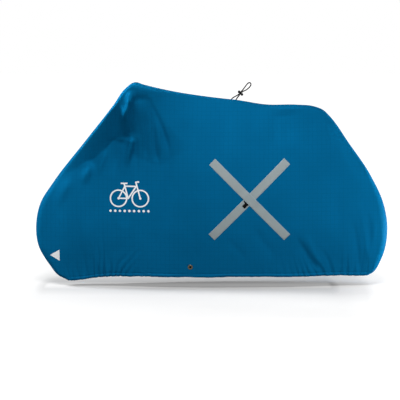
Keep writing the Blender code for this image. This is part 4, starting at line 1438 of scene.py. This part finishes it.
def split_line(line, reach):
    """Leave out the stretch of a line that lies under the upper strip."""
    across = ((line[:, 0] - TAPE_CENTRE[0]) * math.sin(TAPE_ANGLE)
              + (line[:, 2] - TAPE_CENTRE[1]) * math.cos(TAPE_ANGLE))
    clear = np.abs(across) > reach + 0.001
    parts = []
    run = []
    for point, keep in zip(line, clear):
        if keep:
            run.append(point)
        elif run:
            parts.append(np.array(run))
            run = []
    if run:
        parts.append(np.array(run))
    return [part for part in parts if len(part) > 1]


# ---------------------------------------------------------------- prints
def disc_shape(centre, inner, outer, steps, rings):
    """Grid of a ring, or of a disc with a hole too small to see."""
    angle = np.linspace(0.0, math.tau, steps + 1)
    radius = np.linspace(inner, outer, rings + 1)
    turn, reach = np.meshgrid(angle, radius, indexing="ij")
    return np.stack((centre[0] + reach * np.cos(turn), centre[1] + reach * np.sin(turn)), axis=-1)


def stroke_shape(start, end, half, step=0.004):
    """Grid of a straight line of a given half-width."""
    start = np.array(start)
    run = np.array(end) - start
    length = np.linalg.norm(run)
    along = run / length
    off = np.array((-along[1], along[0]))
    past = half * STROKE_END
    steps = max(2, int(length / step))
    place, across = np.meshgrid(np.linspace(-past, length + past, steps), np.linspace(-half, half, 3),
                                indexing="ij")
    return start + place[..., None] * along + across[..., None] * off


def triangle_shape(corners, steps=12):
    """Grid of a triangle, whose first row is its blunted tip."""
    tip, upper, lower = (np.array(corner) for corner in corners)
    part, across = np.meshgrid(np.linspace(0.02, 1.0, steps), np.linspace(0.0, 1.0, steps), indexing="ij")
    back = upper + across[..., None] * (lower - upper)
    return tip + part[..., None] * (back - tip)


def make_print(name, shapes, material):
    """A flat print on the left panel, made of grids of side-view points."""
    points = []
    faces = []
    for shape in shapes:
        first = len(points)
        width = cloth_width(shape) + 0.5 * GAP + CLOTH + PRINT_LIFT
        spots = np.stack((shape[..., 0], -width, shape[..., 1]), axis=-1)
        points.extend(to_row(spots).reshape(-1, 3).tolist())
        rim = grid_faces(shape.shape[0], shape.shape[1], False)
        faces.extend(tuple(first + corner for corner in face) for face in rim)
    item = link(name, mesh_from(name, points, faces))
    bm = bmesh.new()
    bm.from_mesh(item.data)
    bmesh.ops.remove_doubles(bm, verts=bm.verts, dist=1e-6)
    back = [face for face in bm.faces if face.normal.y > 0.0]
    bmesh.ops.reverse_faces(bm, faces=back)
    bm.to_mesh(item.data)
    bm.free()
    item.data.shade_smooth()
    return finish_piece(item, material)


class COVER_OT_prints(bpy.types.Operator):
    """Print the bicycle sign, the dots and the arrowhead on the left panel"""

    bl_idname = "cover.prints"
    bl_label = "Prints"

    def execute(self, context):
        ink = print_material("white print", tuple(colours().print_ink))
        centre = np.array(SIGN_CENTRE)
        shapes = []
        for x in SIGN_HUBS:
            hub = centre + np.array((x, HUB_Z))
            shapes.append(disc_shape(hub, SIGN_WHEEL - 2 * SIGN_STROKE, SIGN_WHEEL, WHEEL_STEPS, 2))
            shapes.append(disc_shape(hub, 0.0004, HUB_RADIUS, HUB_STEPS, 1))
        for x0, z0, x1, z1 in SIGN_LINES:
            shapes.append(stroke_shape(centre + np.array((x0, z0)), centre + np.array((x1, z1)), SIGN_STROKE))
        make_print("print_bicycle_sign", shapes, ink)
        first = centre[0] - 0.5 * (DOT_COUNT - 1) * DOT_PITCH
        dots = [disc_shape((first + index * DOT_PITCH, DOT_Z), 0.0003, DOT_RADIUS, DOT_STEPS, 2)
                for index in range(DOT_COUNT)]
        make_print("print_dots", dots, ink)
        make_print("print_arrowhead", [triangle_shape(ARROW)], ink)
        return {"FINISHED"}


# ---------------------------------------------------------------- eyelets
def turned_mesh(name, profile, closed, steps, matrix):
    """Solid of revolution about Z from a profile of (radius, height), put in its place."""
    points = []
    for step in range(steps):
        angle = math.tau * step / steps
        for radius, height in profile:
            spot = matrix @ Vector((radius * math.cos(angle), radius * math.sin(angle), height))
            points.append(tuple(spot))
    count = len(profile)
    faces = []
    for step in range(steps):
        after = (step + 1) % steps
        for index in range(count if closed else count - 1):
            upper = (index + 1) % count
            faces.append((step * count + index, step * count + upper, after * count + upper,
                          after * count + index))
    item = link(name, mesh_from(name, to_row(points), faces))
    return clean(item)


def eyelet_matrix(side):
    """Place of an eyelet, with Z out of the cloth."""
    middle = np.array([EYELET_X, EYELET_Z])
    plane, slope_x, slope_z = eyelet_plane(middle)
    normal = Vector((-slope_x, 1.0, -slope_z)).normalized()
    normal.y *= side
    centre = Vector((EYELET_X, side * (float(plane) + 0.5 * GAP), EYELET_Z)) + 0.5 * CLOTH * normal
    return Matrix.Translation(centre) @ normal.to_track_quat("Z", "Y").to_matrix().to_4x4()


class COVER_OT_eyelets(bpy.types.Operator):
    """Make the rolled metal eyelets, one in each panel"""

    bl_idname = "cover.eyelets"
    bl_label = "Eyelets"

    def execute(self, context):
        metal = metal_material("antiqued brass", tuple(colours().metal))
        face = 0.5 * CLOTH + EYELET_PLAY
        tip = 0.5 * CLOTH + GAP + EYELET_LIP
        middle = 0.5 * (EYELET_HOLE + EYELET_FLANGE)
        half = 0.5 * (EYELET_FLANGE - EYELET_HOLE)
        front = []
        for step in range(ROLL_STEPS + 1):
            angle = math.pi * step / ROLL_STEPS
            rise = (tip - face) * math.sin(angle) ** ROLL_POWER
            front.append((middle + half * math.cos(angle), face + rise))
        back = [(radius, -height) for radius, height in reversed(front)]
        profile = front + back + [(EYELET_FLANGE, -face), (EYELET_BARREL, -face), (EYELET_BARREL, face),
                                  (EYELET_FLANGE, face)]
        profile = [point for index, point in enumerate(profile)
                   if math.dist(point, profile[index - 1]) > 1e-6]
        for side, label in SIDES:
            item = turned_mesh("eyelet_ring_" + label, profile, True, sizes().turns, eyelet_matrix(side))
            finish_piece(item, metal, ("eyelet_" + label,))
        return {"FINISHED"}


# ---------------------------------------------------------------- drawcord
def cord_line(step):
    """The cord's route with a point every step, and both ends taken on into the cloth."""
    route = np.array(CORD_ROUTE)
    first = route[0] + CORD_IN * (route[0] - route[1]) / np.linalg.norm(route[0] - route[1])
    last = route[-1] + CORD_IN * (route[-1] - route[-2]) / np.linalg.norm(route[-1] - route[-2])
    route = np.concatenate(([first], route[1:-1], [last]))
    lengths = chords(route)
    return smooth_read(lengths, route, np.linspace(0.0, lengths[-1], int(lengths[-1] / step) + 1))


def tube(name, line, radius, sides):
    """A round tube along a line, with its place along and round it stored for the braid."""
    way = np.gradient(line, axis=0)
    way /= np.linalg.norm(way, axis=1, keepdims=True)
    normal = np.cross(way[0], (0.0, 1.0, 0.0))
    normal /= np.linalg.norm(normal)
    stations = chords(line)
    points = []
    places = []
    for index, (spot, along, reach) in enumerate(zip(line, way, radius)):
        normal = normal - along * (normal @ along)
        normal /= np.linalg.norm(normal)
        side = np.cross(along, normal)
        for step in range(sides):
            angle = math.tau * step / sides
            points.append(spot + reach * (math.cos(angle) * normal + math.sin(angle) * side))
            places.append((stations[index], angle, 0.0))
    faces = []
    for index in range(len(line) - 1):
        for step in range(sides):
            after = (step + 1) % sides
            corner = index * sides
            faces.append((corner + step, corner + after, corner + sides + after, corner + sides + step))
    faces.append(tuple(range(sides))[::-1])
    faces.append(tuple(range((len(line) - 1) * sides, len(line) * sides)))
    item = link(name, mesh_from(name, to_row(points), faces))
    paint(item, "cord_place", places)
    item.data.shade_smooth()
    return item


class COVER_OT_drawcord(bpy.types.Operator):
    """Make the drawcord and its spring lock"""

    bl_idname = "cover.drawcord"
    bl_label = "Drawcord and lock"

    def execute(self, context):
        body, button = make_lock()
        line = cord_line(CORD_STEP)
        free = ease((np.linalg.norm(line - np.array(LOCK_CENTRE), axis=1) - LOCK_REACH) / LOCK_EASE)
        radius = 0.5 * (CORD_SQUEEZED + (CORD_DIAMETER - CORD_SQUEEZED) * free)
        cord = tube("drawcord_loop", line, radius, CORD_SIDES)
        finish_piece(cord, cord_material("braided cord", tuple(colours().cord)), ("drawcord",))
        return {"FINISHED"}


def lock_matrix():
    """Place of the cord lock: X along the cord, Z across it, down to the rear."""
    along = Vector((math.cos(LOCK_LEAN), 0.0, math.sin(LOCK_LEAN)))
    across = Vector((math.sin(LOCK_LEAN), 0.0, -math.cos(LOCK_LEAN)))
    depth = across.cross(along)
    turn = Matrix((along, depth, across)).transposed().to_4x4()
    return Matrix.Translation(Vector(LOCK_CENTRE)) @ turn


def make_lock():
    """The lock's slotted barrel with its round foot, and the push button at its other end."""
    plastic = plastic_material("black plastic", tuple(colours().plastic))
    place = lock_matrix()
    foot = -0.5 * BALL_SPACING
    head = 0.5 * BALL_SPACING
    outline = []
    neck = math.asin(BARREL_RADIUS / BALL_RADIUS)
    for step in range(FOOT_STEPS + 1):
        angle = math.pi - (math.pi - neck) * step / FOOT_STEPS
        outline.append((BALL_RADIUS * math.sin(angle), foot + BALL_RADIUS * math.cos(angle)))
    waist = foot + BALL_RADIUS * math.cos(neck)
    outline += [(BARREL_RADIUS, waist + 0.0008), (BARREL_RADIUS, LOCK_SPLIT - 0.0007),
                (BARREL_RADIUS - 0.0002, LOCK_SPLIT - 0.0002), (BARREL_RADIUS - 0.0007, LOCK_SPLIT),
                (0.0, LOCK_SPLIT)]
    body = turned_mesh("lock_barrel", outline, False, sizes().turns, place)
    slot = slot_cutter(place)
    cut = body.modifiers.new("cord slot", "BOOLEAN")
    cut.operation = "DIFFERENCE"
    cut.object = slot
    body = applied(body)
    bpy.data.objects.remove(slot)
    body.data.set_sharp_from_angle(angle=math.radians(40))
    start = LOCK_SPLIT + GAP
    outline = [(0.0, start), (BARREL_RADIUS - 0.0007, start), (BARREL_RADIUS - 0.0001, start + 0.0004)]
    low = math.acos((start + 0.0012 - head) / BALL_RADIUS)
    deep, pitch, upper, lower = GROOVE
    for step in range(HEAD_STEPS + 1):
        angle = low * (1.0 - step / HEAD_STEPS)
        reach = BALL_RADIUS
        if upper < angle < lower:
            reach -= deep * max(0.0, math.cos(angle * pitch))
        outline.append((reach * math.sin(angle), head + reach * math.cos(angle)))
    button = turned_mesh("lock_button", outline, False, sizes().turns, place)
    finish_piece(body, plastic, ("cord_lock_body",))
    finish_piece(button, plastic, ("cord_lock_button",))
    return body, button


def slot_cutter(place):
    """Rounded block that cuts the slot for both strands."""
    half_high = 0.5 * (STRAND_SPACING + CORD_SQUEEZED) + SLOT_PLAY
    half_deep = 0.5 * CORD_SQUEEZED + SLOT_PLAY
    straight = half_high - half_deep
    outline = []
    for step in range(SLOT_STEPS):
        angle = math.tau * step / SLOT_STEPS
        shift = straight if math.sin(angle) >= 0.0 else -straight
        outline.append((half_deep * math.cos(angle), shift + half_deep * math.sin(angle)))
    ends = (-SLOT_HALF, SLOT_HALF)
    points = [place @ Vector((x, deep, high)) for x in ends for deep, high in outline]
    count = len(outline)
    faces = []
    for index in range(count):
        after = (index + 1) % count
        faces.append((index, after, count + after, count + index))
    faces.append(tuple(range(count))[::-1])
    faces.append(tuple(range(count, 2 * count)))
    item = link("cord slot", mesh_from("cord slot", to_row([tuple(point) for point in points]), faces))
    return clean(item)


# ---------------------------------------------------------------- stitching
class COVER_OT_stitching(bpy.types.Operator):
    """Sew the hem casings and the ridge seam"""

    bl_idname = "cover.stitching"
    bl_label = "Stitching"

    def execute(self, context):
        thread = thread_material("blue thread", tuple(colours().thread))
        hem_row = len(SEAM_ROWS) + MIDDLE_ROWS + HEM_ROWS.index(STITCH_ROW)
        seam_rows = (SEAM_ROWS.index(NEAR_STITCHES), SEAM_ROWS.index(FAR_STITCHES))
        for side, label in SIDES:
            stitches("hem_stitching_" + label, [surface_line(side, hem_row)], thread)
        lines = [surface_line(side, row) for side, label in SIDES for row in seam_rows]
        stitches("ridge_stitching", lines, thread)
        return {"FINISHED"}


# ---------------------------------------------------------------- stage
def area_light(name, place, aim, size, power, spread):
    """A soft light at a place, turned to its aim."""
    light = bpy.data.lights.new(name, "AREA")
    light.spread = math.radians(spread)
    light.shape = "RECTANGLE"
    light.size, light.size_y = size
    light.energy = power
    item = link(name, light)
    item.location = Vector(to_row(place))
    way = Vector(to_row(aim)) - item.location
    item.rotation_euler = way.to_track_quat("-Z", "Y").to_euler()
    return item


def floor_material():
    """Pale floor: white to the camera, while it throws back less light than white would; for the camera it
    also glows with painted light, which paints a soft shadow in front of the cover.
    """
    nodes = Nodes("pale floor")
    ray = nodes.add("ShaderNodeLightPath").outputs["Is Camera Ray"]
    place = nodes.place()
    grain = nodes.noise(place, 3.0, 3.0)
    shown = nodes.mix(grain, *(3 * (grey,) for grey in FLOOR_SEEN))
    tone = nodes.mix(ray, 3 * (FLOOR_BOUNCE,), shown)
    lengthways, sideways = nodes.axes(place)[:2]
    beyond = nodes.math("ABSOLUTE", nodes.math("ADD", lengthways, ORIGIN[0] - FLOOR_MIDDLE))
    beyond = nodes.math("MAXIMUM", nodes.math("SUBTRACT", beyond, FLOOR_HALF), 0.0)
    flat = nodes.add("ShaderNodeCombineXYZ")
    nodes.join(nodes.math("MULTIPLY", beyond, FLOOR_ENDS), flat.inputs[0])
    nodes.join(sideways, flat.inputs[1])
    away = nodes.add("ShaderNodeVectorMath", operation="LENGTH")
    nodes.join(flat.outputs[0], away.inputs[0])
    # Painted light for the camera, by distance from the cover: least just in front of it, where it paints a
    # soft shadow
    painted_light = FLOOR_PAINTED_LIGHT[0][1]
    for (near, dim), (far, bright) in zip(FLOOR_PAINTED_LIGHT[:-1], FLOOR_PAINTED_LIGHT[1:]):
        share = nodes.math("SUBTRACT", away.outputs["Value"], near)
        share = nodes.math("MULTIPLY", share, 1.0 / (far - near), clamp=True)
        painted_light = nodes.math("ADD", nodes.math("MULTIPLY", share, bright - dim), painted_light)
    nodes.join(nodes.math("MULTIPLY", ray, painted_light), nodes.shader.inputs["Emission Strength"])
    return nodes.finish(tone, None, Emission_Color=WHITE, Roughness=0.9, Specular_IOR_Level=0.0)


def studio_world(ambient):
    """White behind the cover, and an even light of its own strength on it."""
    world = bpy.data.worlds.new("studio")
    world.use_nodes = True
    tree = world.node_tree
    back = tree.nodes["Background"]
    back.inputs["Color"].default_value = WHITE
    ray = tree.nodes.new("ShaderNodeLightPath")
    strength = tree.nodes.new("ShaderNodeMix")
    strength.inputs[2].default_value = ambient
    strength.inputs[3].default_value = 1.0
    tree.links.new(ray.outputs["Is Camera Ray"], strength.inputs[0])
    tree.links.new(strength.outputs[0], back.inputs["Strength"])
    return world


class COVER_OT_stage(bpy.types.Operator):
    """Set up the pale floor, the soft lights and the camera"""

    bl_idname = "cover.stage"
    bl_label = "Stage"

    def execute(self, context):
        scene = context.scene
        settings = stage_settings()
        corners = [(x, y, 0.0) for y in FLOOR_Y for x in FLOOR_X]
        floor = link("floor", mesh_from("floor", to_row(corners), [(0, 1, 3, 2)]))
        floor.data.materials.append(floor_material())
        scene.world = studio_world(settings.ambient)
        for name, place, aim, size, share, spread in LIGHTS:
            power = share * (settings.rim if "rim" in name else settings.key)
            area_light(name, place, aim, size, power, spread)
        camera = bpy.data.cameras.new("camera")
        camera.lens = SENSOR_WIDTH / (FRAME_WIDTH / CAMERA_DISTANCE)
        camera.sensor_width = SENSOR_WIDTH
        camera.clip_end = FAR_CLIP
        item = link("camera", camera)
        back_way = Vector((0.0, -math.cos(CAMERA_RISE), math.sin(CAMERA_RISE)))
        item.location = Vector(to_row(CAMERA_AIM)) + CAMERA_DISTANCE * back_way
        item.rotation_euler = (-back_way).to_track_quat("-Z", "Y").to_euler()
        scene.camera = item
        scene.view_settings.view_transform = "Standard"
        return {"FINISHED"}


# ---------------------------------------------------------------- panel and start
STEPS = (COVER_OT_stage, COVER_OT_drawcord, COVER_OT_panels, COVER_OT_tape, COVER_OT_prints,
         COVER_OT_eyelets, COVER_OT_stitching)


class COVER_PT_sidebar(bpy.types.Panel):
    """The cover's sizes, colours and steps"""

    bl_idname = "COVER_PT_sidebar"
    bl_label = "Bicycle Cover"
    bl_space_type = "VIEW_3D"
    bl_region_type = "UI"
    bl_category = "Cover"

    def draw(self, context):
        layout = self.layout
        for group in (context.scene.cover_sizes, context.scene.cover_colours, context.scene.cover_stage):
            box = layout.box()
            for name in group.bl_rna.properties.keys():
                if name not in ("rna_type", "name"):
                    box.prop(group, name)
        for step in STEPS:
            layout.operator(step.bl_idname)


GROUPS = (CoverSizes, CoverColours, StageSettings)


def register():
    for kind in GROUPS + STEPS + (COVER_PT_sidebar,):
        bpy.utils.register_class(kind)
    bpy.types.Scene.cover_sizes = PointerProperty(type=CoverSizes)
    bpy.types.Scene.cover_colours = PointerProperty(type=CoverColours)
    bpy.types.Scene.cover_stage = PointerProperty(type=StageSettings)


def unregister():
    del bpy.types.Scene.cover_stage
    del bpy.types.Scene.cover_colours
    del bpy.types.Scene.cover_sizes
    for kind in reversed(GROUPS + STEPS + (COVER_PT_sidebar,)):
        bpy.utils.unregister_class(kind)


def main():
    register()
    for step in STEPS:
        prefix, name = step.bl_idname.split(".")
        getattr(getattr(bpy.ops, prefix), name)()


if __name__ == "__main__":
    main()
